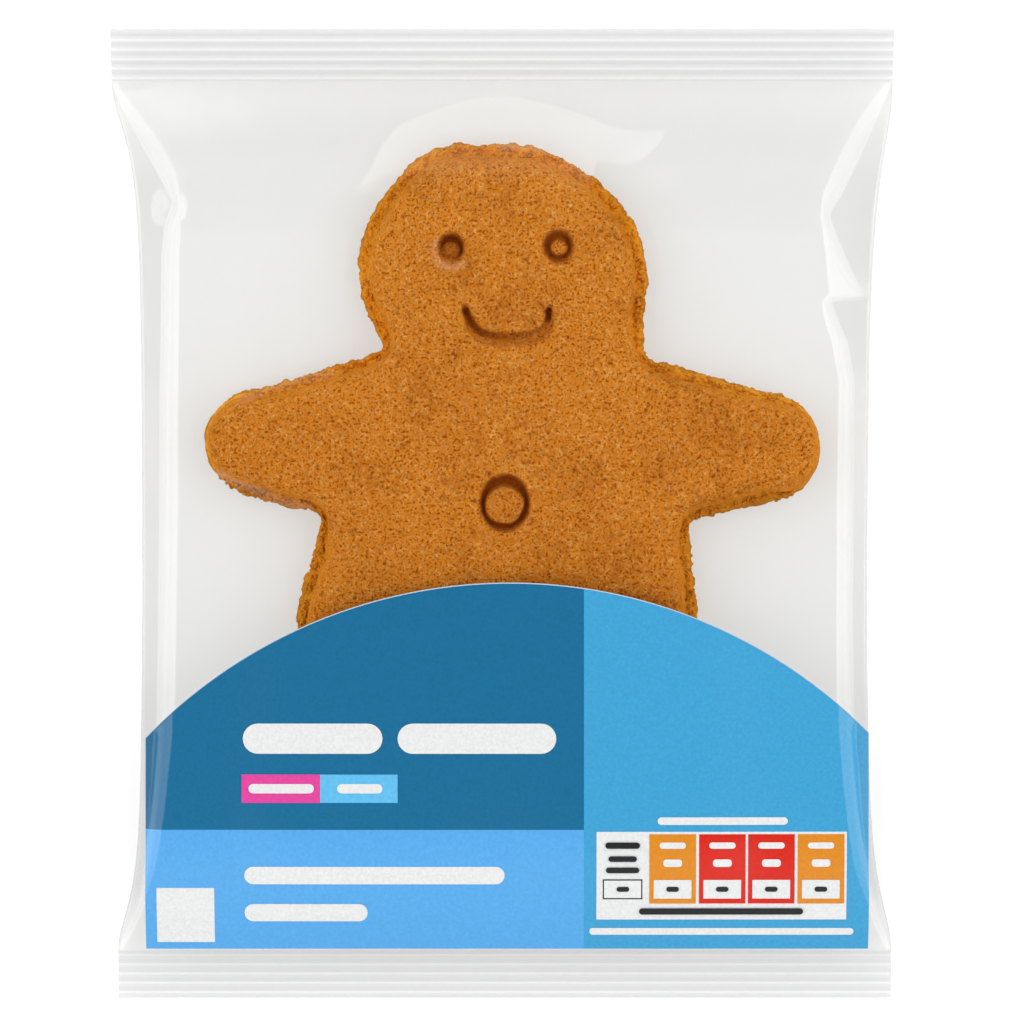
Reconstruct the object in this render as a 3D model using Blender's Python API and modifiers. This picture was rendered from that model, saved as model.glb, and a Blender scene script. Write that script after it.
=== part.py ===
"""A gingerbread figure biscuit in a clear pillow bag with crimped ends and a printed front panel.

The pack lies on its back with the printed side up. X runs across the pack, Y from the feet to the
head and Z up from the table. The origin is the middle of the footprint, at table height.
"""

import math

import bmesh
import bpy
import numpy as np

MM = 0.001

# The bag: a flat tube of film, pinched shut at both ends, lying on its back.
PACK_LENGTH = 154.7 * MM
TOP_SEAL_HALF_WIDTH = 62.65 * MM
TOP_SEAL_TAPER = 0.3 * MM
TOP_SEAL_HEIGHT = 8.4 * MM
BOTTOM_SEAL_LEFT = 61.3 * MM
BOTTOM_SEAL_RIGHT = 62.1 * MM
BOTTOM_SEAL_HEIGHT = 7.6 * MM
WAIST_LEFT = 57.3 * MM
WAIST_RIGHT = 58.0 * MM
EDGE_DEPTH = 10.4 * MM
CROWN = 0.6 * MM
SEAL_LIFT = 3.6 * MM
SEAL_THICKNESS = 0.6 * MM
RIB_HEIGHT = 0.22 * MM
RIB_PITCH = 1.45 * MM
PLAIN_HEM = 2.6 * MM
FRONT_RISE = 11.0 * MM
BACK_RUN = 11.5 * MM
FLARE_REACH_TOP_LEFT = 10.5 * MM
FLARE_REACH_TOP_RIGHT = 17.0 * MM
FLARE_REACH_BOTTOM_LEFT = 9.0 * MM
FLARE_REACH_BOTTOM_RIGHT = 11.0 * MM

# The biscuit: a moulded figure with a rough, wider foot all round.
BISCUIT_THICKNESS = 8.0 * MM
HEAD_CENTRE = (0.15 * MM, 38.0 * MM)
HEAD_HALF_SIZE = (23.0 * MM, 20.8 * MM)
HEAD_TILT = math.radians(-14)
TEMPLE = ((-5.6 * MM, 45.6 * MM, 13.3 * MM), (-2.0 * MM, 42.0 * MM, 15.5 * MM))
CORE = ((0.4 * MM, 14.0 * MM, 18.0 * MM), (-1.0 * MM, -12.0 * MM, 24.0 * MM))
CHEEK = ((8.8 * MM, 34.9 * MM, 13.7 * MM), (11.4 * MM, 26.4 * MM, 11.3 * MM))
LEFT_ARM = ((-39.5 * MM, 11.4 * MM, 8.0 * MM), (-17.0 * MM, 11.4 * MM, 15.2 * MM))
RIGHT_ARM = ((42.0 * MM, 10.7 * MM, 8.6 * MM), (19.0 * MM, 10.8 * MM, 15.0 * MM))
LEFT_ELBOW = ((-37.9 * MM, 11.0 * MM, 8.7 * MM), (-32.5 * MM, 10.0 * MM, 9.3 * MM))
RIGHT_ELBOW = ((42.5 * MM, 10.2 * MM, 8.3 * MM), (35.5 * MM, 9.7 * MM, 9.2 * MM))
LEFT_FLANK = ((-11.3 * MM, -2.0 * MM, 17.25 * MM), (-15.1 * MM, -18.0 * MM, 17.3 * MM))
RIGHT_FLANK = ((12.2 * MM, -2.0 * MM, 17.3 * MM), (13.2 * MM, -18.0 * MM, 17.8 * MM))
LEFT_LEG = (LEFT_FLANK[1], (-22.4 * MM, -47.2 * MM, 11.4 * MM))
RIGHT_LEG = (RIGHT_FLANK[1], (21.0 * MM, -47.2 * MM, 11.4 * MM))
JOIN_FILLET = 1.6 * MM
CHEST = (0.0, 10.0 * MM)
FURTHEST_REACH = 80.0 * MM
FINE_POINTS = 7200
SHARP_ANGLE = math.radians(40)
RIM_POINTS = 300
TOP_EDGE_INSET = 5.6 * MM
CRUMB_HEIGHT = 0.35 * MM
CRUMB_SEED = 11
# Each level of the side: height as a share of the thickness, how far it steps in on the foot or
# on the moulded top, and how rough it is there.
FOOT_LEVELS = (
    (0.0, 0.7 * MM, 0.3),
    (0.08, 0.15 * MM, 0.7),
    (0.24, 0.0, 1.0),
    (0.40, 0.35 * MM, 1.0),
)
TOP_LEVELS = (
    (0.49, 0.0, 0.6),
    (0.70, 0.3 * MM, 0.15),
    (0.87, 1.0 * MM, 0.0),
    (0.96, 2.1 * MM, 0.0),
    (1.0, 3.9 * MM, 0.0),
)
FOOT_LEDGE = 1.7 * MM
LEDGE_AT_TIPS = 0.5 * MM
TIP_REACH = 13.0 * MM

# The marks pressed into the biscuit: ring, half the groove's width and its depth.
LEFT_EYE = (-8.2 * MM, 42.4 * MM, 1.75 * MM, 0.55 * MM, 1.1 * MM)
RIGHT_EYE = (8.9 * MM, 42.5 * MM, 1.95 * MM, 0.65 * MM, 1.2 * MM)
BUTTON = (0.6 * MM, 1.3 * MM, 3.95 * MM, 0.7 * MM, 1.5 * MM)
MARK_LIFT = 0.13 * MM
SMILE_CENTRE = (0.9 * MM, 35.2 * MM)
SMILE_RADIUS = 7.35 * MM
SMILE_HALF_ANGLE = math.radians(72.0)
SMILE_GROOVE = 0.75 * MM
SMILE_SINK = 0.15 * MM
SMILE_POINTS = 17

# The printed panel on the lower front, under an arc.
PANEL_LEFT = -56.6 * MM
PANEL_RIGHT = 58.0 * MM
PANEL_BOTTOM = -69.5 * MM
PANEL_ARC_CENTRE = (1.2 * MM, -91.4 * MM)
PANEL_ARC_RADIUS = 80.4 * MM
PANEL_THICKNESS = 0.3 * MM

# Clearances and mesh sizes.
GAP = 0.3 * MM
BAG_FLOOR = 0.6 * MM
SIDE_STEPS = 5
FRONT_POINTS = 13
BODY_ROWS = 30
PANEL_COLUMNS = 18
PANEL_ROWS = 12

TOP_EDGE = PACK_LENGTH / 2
BOTTOM_EDGE = -PACK_LENGTH / 2
TOP_SEAL_INNER = TOP_EDGE - TOP_SEAL_HEIGHT
BOTTOM_SEAL_INNER = BOTTOM_EDGE + BOTTOM_SEAL_HEIGHT
BISCUIT_BASE = BAG_FLOOR + GAP
BISCUIT_TOP = BISCUIT_BASE + BISCUIT_THICKNESS


def clear_scene():
    for thing in list(bpy.data.objects):
        bpy.data.objects.remove(thing, do_unlink=True)


def new_collection(name):
    collection = bpy.data.collections.new(name)
    bpy.context.scene.collection.children.link(collection)
    return collection


def new_material(name, colour, roughness, alpha=1.0):
    """A Principled material with the part's colour, roughness and see-through share."""
    material = bpy.data.materials.new(name)
    material.use_nodes = True
    shader = material.node_tree.nodes["Principled BSDF"]
    shader.inputs["Base Color"].default_value = (*colour, 1.0)
    shader.inputs["Roughness"].default_value = roughness
    shader.inputs["Metallic"].default_value = 0.0
    shader.inputs["Alpha"].default_value = alpha
    return material


def new_object(name, mesh, collection, material=None):
    """An object of a mesh, shaded smooth except across its sharp edges."""
    mesh.shade_smooth()
    mesh.set_sharp_from_angle(angle=SHARP_ANGLE)
    thing = bpy.data.objects.new(name, mesh)
    collection.objects.link(thing)
    if material:
        mesh.materials.append(material)
    return thing


def move_to(thing, collection):
    for other in list(thing.users_collection):
        other.objects.unlink(thing)
    collection.objects.link(thing)


def as_cutter(thing, collection):
    move_to(thing, collection)
    thing.hide_render = True
    thing.display_type = "WIRE"
    return thing


def cut(thing, cutter):
    modifier = thing.modifiers.new(f"cut_{cutter.name}", "BOOLEAN")
    modifier.operation = "DIFFERENCE"
    modifier.solver = "EXACT"
    modifier.object = cutter


def loft(name, rings):
    """A closed body through rings of equally many points, with a flat cap at both ends."""
    count = len(rings[0])
    solid = bmesh.new()
    rows = [[solid.verts.new(point) for point in ring] for ring in rings]
    for lower, upper in zip(rows, rows[1:]):
        for i in range(count):
            j = (i + 1) % count
            solid.faces.new((lower[i], lower[j], upper[j], upper[i]))
    solid.faces.new(reversed(rows[0]))
    solid.faces.new(rows[-1])
    bmesh.ops.recalc_face_normals(solid, faces=solid.faces)
    mesh = bpy.data.meshes.new(name)
    solid.to_mesh(mesh)
    solid.free()
    return mesh


# ---- The bag ----


def flare(distance, reach):
    """How much of a seal's extra width is left at a distance from that seal, from 1 down to 0."""
    return 1.0 / (1.0 + (max(distance, 0.0) / reach) ** 2)


def side(y, waist, seal, reach_top, reach_bottom):
    """How far one edge of the bag stands from the middle, drawn in between the two wider seals."""
    top = (TOP_SEAL_HALF_WIDTH - TOP_SEAL_TAPER - waist) * flare(TOP_SEAL_INNER - y, reach_top)
    low = (seal - waist) * flare(y - BOTTOM_SEAL_INNER, reach_bottom)
    taper = TOP_SEAL_TAPER * max(0.0, y - TOP_SEAL_INNER) / TOP_SEAL_HEIGHT
    return waist + max(top, low) + taper


def side_left(y):
    """The bag's left edge."""
    return -side(y, WAIST_LEFT, BOTTOM_SEAL_LEFT, FLARE_REACH_TOP_LEFT, FLARE_REACH_BOTTOM_LEFT)


def side_right(y):
    """The bag's right edge."""
    return side(y, WAIST_RIGHT, BOTTOM_SEAL_RIGHT, FLARE_REACH_TOP_RIGHT, FLARE_REACH_BOTTOM_RIGHT)


def seal_distance(y):
    """How far a place lies inside the nearer seal; negative on the seals."""
    return min(TOP_SEAL_INNER - y, y - BOTTOM_SEAL_INNER)


def rib_wave(y):
    """The crimp's ribs, from 0 in a groove to 1 on a rib; the hem at the top stays plain."""
    if y > TOP_EDGE - PLAIN_HEM:
        return 0.0
    edge = TOP_SEAL_INNER if y > 0 else BOTTOM_SEAL_INNER
    return 0.5 - 0.5 * math.cos(2 * math.pi * (y - edge) / RIB_PITCH)


def back_height(y):
    """The back film: flat on the table, rising in a parabola to each lifted seal."""
    inside = seal_distance(y)
    low = SEAL_LIFT - SEAL_THICKNESS / 2
    if inside <= 0:
        return low - RIB_HEIGHT * rib_wave(y)
    return low * max(0.0, 1.0 - inside / BACK_RUN) ** 2


def front_edge_height(y):
    """The front film where it turns into the side: it rises off each seal and levels out."""
    inside = seal_distance(y)
    low = SEAL_LIFT + SEAL_THICKNESS / 2
    if inside <= 0:
        return low + RIB_HEIGHT * rib_wave(y)
    return low + (EDGE_DEPTH - low) * math.tanh(inside / FRONT_RISE)


def front_height(x, y):
    """The front film, crowned between its two edges."""
    middle = (side_left(y) + side_right(y)) / 2
    half = (side_right(y) - side_left(y)) / 2
    share = max(0.0, 1.0 - ((x - middle) / half) ** 2)
    lift = CROWN * share * math.tanh(max(0.0, seal_distance(y)) / FRONT_RISE)
    return front_edge_height(y) + lift


def bag_section(y):
    """One slice across the bag: crowned front, round right side, flat back, round left side."""
    top = front_edge_height(y)
    bottom = back_height(y)
    radius = (top - bottom) / 2
    level = (top + bottom) / 2
    left = side_left(y) + radius
    right = side_right(y) - radius
    points = []
    for i in range(FRONT_POINTS):
        x = left + (right - left) * i / (FRONT_POINTS - 1)
        points.append((x, y, front_height(x, y) if 0 < i < FRONT_POINTS - 1 else top))
    for i in range(1, SIDE_STEPS):
        turn = math.pi / 2 - math.pi * i / SIDE_STEPS
        points.append((right + radius * math.cos(turn), y, level + radius * math.sin(turn)))
    for i in range(FRONT_POINTS):
        x = right + (left - right) * i / (FRONT_POINTS - 1)
        points.append((x, y, bottom))
    for i in range(1, SIDE_STEPS):
        turn = -math.pi / 2 - math.pi * i / SIDE_STEPS
        points.append((left + radius * math.cos(turn), y, level + radius * math.sin(turn)))
    return points


def bag_rows():
    """The slices' places: two for each rib of the seals, and closer near the seals than between."""
    rows = [BOTTOM_EDGE]
    steps = int((BOTTOM_SEAL_INNER - BOTTOM_EDGE) / (RIB_PITCH / 2))
    rows += [BOTTOM_SEAL_INNER - i * RIB_PITCH / 2 for i in range(steps, 0, -1)]
    middle = (TOP_SEAL_INNER + BOTTOM_SEAL_INNER) / 2
    half = (TOP_SEAL_INNER - BOTTOM_SEAL_INNER) / 2
    for i in range(BODY_ROWS + 1):
        rows.append(middle - half * math.cos(math.pi * i / BODY_ROWS))
    steps = int((TOP_SEAL_HEIGHT - PLAIN_HEM) / (RIB_PITCH / 2))
    rows += [TOP_SEAL_INNER + i * RIB_PITCH / 2 for i in range(1, steps + 1)]
    rows.append(TOP_EDGE)
    return rows


def make_bag(parts, cutters, film):
    """The bag's outer form, with a pocket open to the front that the biscuit fills."""
    bag = new_object("bag", loft("bag", [bag_section(y) for y in bag_rows()]), parts, film)
    edge, normals = rim()
    wall = edge + normals * (GAP + CRUMB_HEIGHT)
    heights = (BAG_FLOOR, EDGE_DEPTH + 2 * CROWN)
    rings = [[(x, y, z) for x, y in wall] for z in heights]
    pocket = new_object("pocket", loft("pocket", rings), cutters)
    cut(bag, as_cutter(pocket, cutters))
    return bag


# ---- The biscuit ----


def oval(x, y, centre, half_size, tilt):
    """Distance to a tilted oval, near enough close to its edge; negative inside."""
    right, up = x - centre[0], y - centre[1]
    dx = (right * math.cos(tilt) + up * math.sin(tilt)) / half_size[0]
    dy = (up * math.cos(tilt) - right * math.sin(tilt)) / half_size[1]
    share = np.hypot(dx, dy)
    slope = np.hypot(dx / half_size[0], dy / half_size[1])
    return share * (share - 1.0) / np.maximum(slope, 1e-6)


def round_cone(x, y, start, end):
    """Distance to a bar with two round ends of unlike size; negative inside."""
    ax, ay, ra = start
    bx, by, rb = end
    length_squared = (bx - ax) ** 2 + (by - ay) ** 2
    along = np.clip(((x - ax) * (bx - ax) + (y - ay) * (by - ay)) / length_squared, 0.0, 1.0)
    return np.hypot(x - ax - along * (bx - ax), y - ay - along * (by - ay)) - ra - along * (rb - ra)


def smooth_union(a, b):
    """The nearer of two distances, with a fillet where they are about equal."""
    blend = np.clip(0.5 + 0.5 * (b - a) / JOIN_FILLET, 0.0, 1.0)
    return b + (a - b) * blend - JOIN_FILLET * blend * (1.0 - blend)


def figure_distance(x, y):
    """Distance to the figure's outline, negative inside: head, arms, body and legs run together."""
    distance = oval(x, y, HEAD_CENTRE, HEAD_HALF_SIZE, HEAD_TILT)
    for start, end in (CORE, CHEEK, LEFT_FLANK, RIGHT_FLANK, LEFT_LEG, RIGHT_LEG, LEFT_ARM, RIGHT_ARM):
        distance = smooth_union(distance, round_cone(x, y, start, end))
    for start, end in (TEMPLE, LEFT_ELBOW, RIGHT_ELBOW):
        distance = np.minimum(distance, round_cone(x, y, start, end))
    return distance


def figure_line():
    """The outline as a dense closed line, found on rays from the chest by halving."""
    angles = np.linspace(0.0, 2 * np.pi, FINE_POINTS, endpoint=False)
    near = np.zeros_like(angles)
    far = np.full_like(angles, FURTHEST_REACH)
    for _ in range(40):
        reach = (near + far) / 2
        x = CHEST[0] + reach * np.cos(angles)
        y = CHEST[1] + reach * np.sin(angles)
        outside = figure_distance(x, y) > 0
        far = np.where(outside, reach, far)
        near = np.where(outside, near, reach)
    return np.column_stack((CHEST[0] + near * np.cos(angles), CHEST[1] + near * np.sin(angles)))


def outward(line):
    """Unit normals of a closed line that runs anticlockwise, pointing out of it."""
    along = np.roll(line, -1, axis=0) - np.roll(line, 1, axis=0)
    along /= np.hypot(along[:, 0], along[:, 1])[:, None]
    return np.column_stack((along[:, 1], -along[:, 0]))


def rim():
    """Points on the outline and their normals, spread evenly for the outline and its inset alike."""
    line = figure_line()
    normals = outward(line)
    inner = line - TOP_EDGE_INSET * normals
    steps = sum(np.hypot(*(np.roll(ring, -1, axis=0) - ring).T) for ring in (line, inner))
    travelled = np.concatenate(([0.0], np.cumsum(steps)))
    wanted = np.linspace(0.0, travelled[-1], RIM_POINTS, endpoint=False)
    picked = np.searchsorted(travelled, wanted) % FINE_POINTS
    return line[picked], normals[picked]


def ledge_width(x, y):
    """How far the foot stands out past the moulded top: pinched to a little at the arms' tips."""
    width = np.full_like(x, FOOT_LEDGE)
    for (tip_x, tip_y, radius), side in ((LEFT_ARM[0], -1), (RIGHT_ARM[0], 1)):
        away = np.hypot(x - tip_x - side * radius, y - tip_y)
        width -= (FOOT_LEDGE - LEDGE_AT_TIPS) * np.exp(-((away / TIP_REACH) ** 2))
    return width


def biscuit_rings():
    """The biscuit's levels, from its underside over the rough foot to the moulded top's edge."""
    edge, normals = rim()
    ledge = ledge_width(edge[:, 0], edge[:, 1])
    random = np.random.default_rng(CRUMB_SEED)
    levels = [(share, step, rough, 0.0) for share, step, rough in FOOT_LEVELS]
    levels += [(share, step, rough, 1.0) for share, step, rough in TOP_LEVELS]
    rings = []
    for share, step, rough, on_top in levels:
        crumbs = CRUMB_HEIGHT * rough * random.uniform(-1.0, 1.0, RIM_POINTS)
        ring = edge - normals * (step + ledge * on_top + crumbs)[:, None]
        height = BISCUIT_BASE + BISCUIT_THICKNESS * share
        rings.append([(x, y, height) for x, y in ring])
    return rings


def ring_mark(name, mark, cutters):
    """A turned cutter that presses a round groove and leaves a nub standing in its middle."""
    x, y, radius, half_width, depth = mark
    bpy.ops.mesh.primitive_torus_add(
        location=(x, y, BISCUIT_TOP + MARK_LIFT),
        major_radius=radius,
        minor_radius=half_width,
        major_segments=24,
        minor_segments=10,
    )
    cutter = bpy.context.object
    cutter.name = name
    cutter.scale.z = depth / half_width
    return as_cutter(cutter, cutters)


def smile_mark(cutters):
    """A cutter for the smile: a round bar bent along an arc, thinner at both ends."""
    curve = bpy.data.curves.new("smile", "CURVE")
    curve.dimensions = "3D"
    curve.bevel_depth = SMILE_GROOVE
    curve.bevel_resolution = 2
    curve.use_fill_caps = True
    spline = curve.splines.new("POLY")
    spline.points.add(SMILE_POINTS - 1)
    for i in range(SMILE_POINTS):
        share = 2 * i / (SMILE_POINTS - 1) - 1
        turn = -math.pi / 2 + share * SMILE_HALF_ANGLE
        x = SMILE_CENTRE[0] + SMILE_RADIUS * math.cos(turn)
        y = SMILE_CENTRE[1] + SMILE_RADIUS * math.sin(turn)
        spline.points[i].co = (x, y, BISCUIT_TOP - SMILE_SINK, 1.0)
        spline.points[i].radius = 1.0 - 0.35 * share**4
    bar = bpy.data.objects.new("smile_bar", curve)
    cutters.objects.link(bar)
    bpy.context.view_layer.update()
    mesh = bpy.data.meshes.new_from_object(bar.evaluated_get(bpy.context.evaluated_depsgraph_get()))
    bpy.data.objects.remove(bar, do_unlink=True)
    welded = bmesh.new()
    welded.from_mesh(mesh)
    bmesh.ops.remove_doubles(welded, verts=welded.verts, dist=0.001 * MM)
    bmesh.ops.recalc_face_normals(welded, faces=welded.faces)
    welded.to_mesh(mesh)
    welded.free()
    return as_cutter(new_object("smile", mesh, cutters), cutters)


def make_biscuit(parts, cutters, crust):
    biscuit = new_object("biscuit", loft("biscuit", biscuit_rings()), parts, crust)
    cut(biscuit, ring_mark("left_eye", LEFT_EYE, cutters))
    cut(biscuit, ring_mark("right_eye", RIGHT_EYE, cutters))
    cut(biscuit, ring_mark("button", BUTTON, cutters))
    cut(biscuit, smile_mark(cutters))
    return biscuit


# ---- The printed panel ----


def panel_top(x):
    """The arc along the top of the printed panel."""
    return PANEL_ARC_CENTRE[1] + math.sqrt(PANEL_ARC_RADIUS**2 - (x - PANEL_ARC_CENTRE[0]) ** 2)


def shell_point(x, y, clear):
    """A point over the front film, a clearance off it, round the sides' shoulders as well."""
    top = front_edge_height(y)
    radius = (top - back_height(y)) / 2
    level = top - radius
    for centre, side in ((side_left(y) + radius, -1), (side_right(y) - radius, 1)):
        past = (x - centre) * side
        if past > 0:
            return level + math.sqrt(max(0.0, (radius + clear) ** 2 - past**2))
    return front_height(x, y) + clear


def make_panel(parts, ink):
    """A thin skin of print over the lower front, from the bottom seal up to the arc."""
    sheet = bmesh.new()
    grid = []
    for i in range(PANEL_COLUMNS + 1):
        share = 0.5 - 0.5 * math.cos(math.pi * i / PANEL_COLUMNS)
        x = PANEL_LEFT + (PANEL_RIGHT - PANEL_LEFT) * share
        column = []
        for j in range(PANEL_ROWS + 1):
            rise = (j / PANEL_ROWS) ** 1.5
            y = PANEL_BOTTOM + (panel_top(x) - PANEL_BOTTOM) * rise
            column.append(sheet.verts.new((x, y, shell_point(x, y, GAP))))
        grid.append(column)
    for left, right in zip(grid, grid[1:]):
        for j in range(PANEL_ROWS):
            sheet.faces.new((left[j], right[j], right[j + 1], left[j + 1]))
    mesh = bpy.data.meshes.new("printed_panel")
    sheet.to_mesh(mesh)
    sheet.free()
    panel = new_object("printed_panel", mesh, parts, ink)
    wall = panel.modifiers.new("thickness", "SOLIDIFY")
    wall.thickness = PANEL_THICKNESS
    wall.offset = 1.0
    return panel


def main():
    clear_scene()
    parts = new_collection("wrapped_gingerbread_biscuit")
    cutters = new_collection("cutters")
    film = new_material("clear_film", (0.84, 0.84, 0.82), 0.12, alpha=0.25)
    crust = new_material("baked_gingerbread", (0.55, 0.19, 0.03), 0.85)
    ink = new_material("panel_print", (0.03, 0.17, 0.33), 0.3)
    make_bag(parts, cutters, film)
    make_biscuit(parts, cutters, crust)
    make_panel(parts, ink)


main()
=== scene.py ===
"""The looks of a gingerbread figure biscuit in a clear pillow bag with a printed front panel.

The pack lies on its back on a pale table, seen from straight above. Every shape is a surface worked
out with numpy from named sizes in metres. X runs across the pack, Y from the feet to the head and Z
up from the table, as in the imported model.
"""

import itertools
import math

import bmesh
import bpy
import numpy as np
from mathutils.geometry import delaunay_2d_cdt
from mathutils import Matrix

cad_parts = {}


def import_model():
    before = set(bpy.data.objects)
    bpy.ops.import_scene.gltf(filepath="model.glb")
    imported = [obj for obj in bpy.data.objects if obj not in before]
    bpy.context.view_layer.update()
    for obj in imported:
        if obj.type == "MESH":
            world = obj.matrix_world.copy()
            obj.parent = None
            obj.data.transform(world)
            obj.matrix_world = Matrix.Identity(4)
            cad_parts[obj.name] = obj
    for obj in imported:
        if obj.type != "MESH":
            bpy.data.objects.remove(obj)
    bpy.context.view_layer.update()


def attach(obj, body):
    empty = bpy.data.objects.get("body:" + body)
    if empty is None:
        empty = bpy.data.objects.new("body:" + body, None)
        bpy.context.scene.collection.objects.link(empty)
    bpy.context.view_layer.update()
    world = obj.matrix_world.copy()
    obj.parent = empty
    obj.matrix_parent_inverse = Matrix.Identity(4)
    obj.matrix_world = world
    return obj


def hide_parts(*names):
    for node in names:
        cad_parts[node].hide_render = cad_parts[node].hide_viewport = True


MM = 0.001


def in_mm(*rows):
    """Rows of numbers given in millimetres, as rows in metres."""
    return tuple(tuple(value * MM for value in row) for row in rows)


# ---- The bag's sizes, as in the solid model ----
PACK_LENGTH = 154.7 * MM
TOP_SEAL_HALF_WIDTH = 62.65 * MM
TOP_SEAL_TAPER = 0.3 * MM
TOP_SEAL_HEIGHT = 8.4 * MM
BOTTOM_SEAL_HEIGHT = 7.6 * MM
EDGE_DEPTH = 10.4 * MM
CROWN = 0.6 * MM
SEAL_LIFT = 3.6 * MM
FRONT_RISE = 11.0 * MM
BACK_RUN = 11.5 * MM
FILM_GAP = 0.05 * MM
TOP_EDGE = PACK_LENGTH / 2
BOTTOM_EDGE = -PACK_LENGTH / 2
TOP_SEAL_INNER = TOP_EDGE - TOP_SEAL_HEIGHT
BOTTOM_SEAL_INNER = BOTTOM_EDGE + BOTTOM_SEAL_HEIGHT

# The two sides: the waist, the bottom seal's half width, and how far from the top and the bottom seal
# the extra width reaches.
LEFT_SIDE, RIGHT_SIDE = in_mm((57.3, 61.3, 10.5, 9.0), (58.0, 62.1, 17.0, 11.0))

# The seals' ribs, and where in each rib's pitch the wave and the dark line of the painted shade start.
TOP_RIB_PITCH = 1.51 * MM
BOTTOM_RIB_PITCH = 1.475 * MM
TOP_RIB_PHASE = 0.415
BOTTOM_RIB_PHASE = 0.28
RIB_HEIGHT = 0.115 * MM
RIB_LEAN = 0.5
ROWS_PER_RIB = 12
TOP_SHADE_PHASE = -0.135
BOTTOM_SHADE_PHASE = -0.20
# How the ribs' painted shade brightens and darkens, and how much darker and more even it is painted next to
# the print, and over what distance.
RIB_SHADE_POWER = 0.7
EVEN_BY_PRINT = 0.5
EVEN_REACH = 2.5 * MM
PLAIN_HEM = 0.9 * MM

# How the front film sinks beyond the biscuit's outline, waves slowly and puckers at the seals.
DRAPE_DEPTH = 0.35 * MM
DRAPE_START = 0.8 * MM
DRAPE_RUN = 11.0 * MM
SLOW_WAVE = 0.12 * MM
PUCKER = 0.10 * MM
LOOSE_START = 6.0 * MM
PUCKER_RUN = 7.0 * MM

# Where the front film is drawn down at the two upper corners, and how far: X, Y and depth.
CORNER_DENTS = in_mm((-62.0, 66.0, 1.6), (63.0, 65.5, 0.8))
DENT_HALF_WIDTH = 10.0 * MM
DENT_HALF_HEIGHT = 6.5 * MM
DENT_START = 2.0 * MM

# A knot where the left fold bends: X, Y, half width, half height and rise.
KNOT = (-53.0 * MM, 48.7 * MM, 2.6 * MM, 2.9 * MM, 0.5 * MM)
KNOT_CRUMPLE = 0.30 * MM

# The crease of the film's facet round the top of the head, the facet's end where the film lies on the
# head, the part of the pack that it is worked out for, and its first slope, rise and fading.
VEIL_CREASE = in_mm(
    (-23.9, 51.0), (-22.6, 52.4), (-21.2, 54.5), (-19.0, 59.0), (-16.7, 61.7), (-13.8, 63.2), (-10.5, 64.4),
    (-7.2, 65.6), (-3.8, 66.3), (-0.4, 66.6), (3.0, 66.3), (8.0, 65.2), (13.5, 63.4), (16.7, 61.9),
    (19.5, 61.2), (26.2, 60.9), (24.8, 58.6), (22.2, 56.2), (19.6, 55.6), (17.0, 55.9), (15.0, 56.2),
)
VEIL_END = in_mm((12.0, 40.0), (-8.0, 36.0), (-14.0, 44.0), (-19.5, 50.8))
VEIL_REACH = 40.0 * MM
VEIL_LOW = 30.0 * MM
VEIL_HIGH = 72.0 * MM
VEIL_SLOPE = 0.07
VEIL_RISE = 0.5 * MM
VEIL_FADE = 20.0 * MM
# How soon the painted shade ends inside the veil's line, which leaves the veil as a painted highlight.
VEIL_EDGE = 0.30 * MM

# How much shade is painted on the film on the side wings, beyond the veil's crease, further at the
# crease's right, where along X and Y that grows and ends, and below the top seal, as distances in
# millimetres and shades. Two places there get less of it and show as painted highlights: X, Y and reach.
WING_SHADE = 0.45
WING_EDGE = 0.1 * MM
CREASE_SHADE = 0.10
CREASE_SHADE_RIGHT = 0.38
CREASE_SHADE_REACH = 4.0 * MM
CREASE_RIGHT_RISE, CREASE_RIGHT_FALL, CREASE_HEAD_RISE = in_mm((-10.0, 15.0), (36.0, 24.0), (40.0, 52.0))
SEAL_SHADES = (
    (0.0, 0.26), (2.3, 0.18), (4.0, 0.24), (7.0, 0.45),
    (10.5, 0.48), (13.0, 0.42), (16.5, 0.28), (24.0, 0.10),
)
SEAL_GLOWS = in_mm((-52.5, 65.0, 6.0), (-43.0, 65.5, 5.0))
GLOW_STRENGTH = 0.8
GLOW_SQUASH = 1.4

# Where a painted highlight makes the film whitish where it touches the biscuit: half width, strength
# and a line of points, with all lengths in millimetres.
PAINTED_TOUCH_HIGHLIGHTS = (
    (0.7, 1.0, ((-10.6, 43.2), (-11.0, 41.6), (-10.4, 40.1), (-9.0, 39.1), (-7.4, 39.0), (-6.2, 39.7))),
    (0.8, 1.3, ((-45.2, 6.6), (-43.4, 5.3), (-41.0, 4.4), (-38.0, 3.3))),
    (1.1, 0.9, ((-0.5, 58.3), (3.0, 58.4), (7.0, 57.9))),
    (1.1, 0.6, ((-41.5, 17.8), (-37.9, 19.6), (-32.0, 21.2), (-27.0, 22.3))),
    (1.2, 0.7, ((-38.0, 3.2), (-34.5, 1.7), (-31.0, 0.8))),
)

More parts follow.
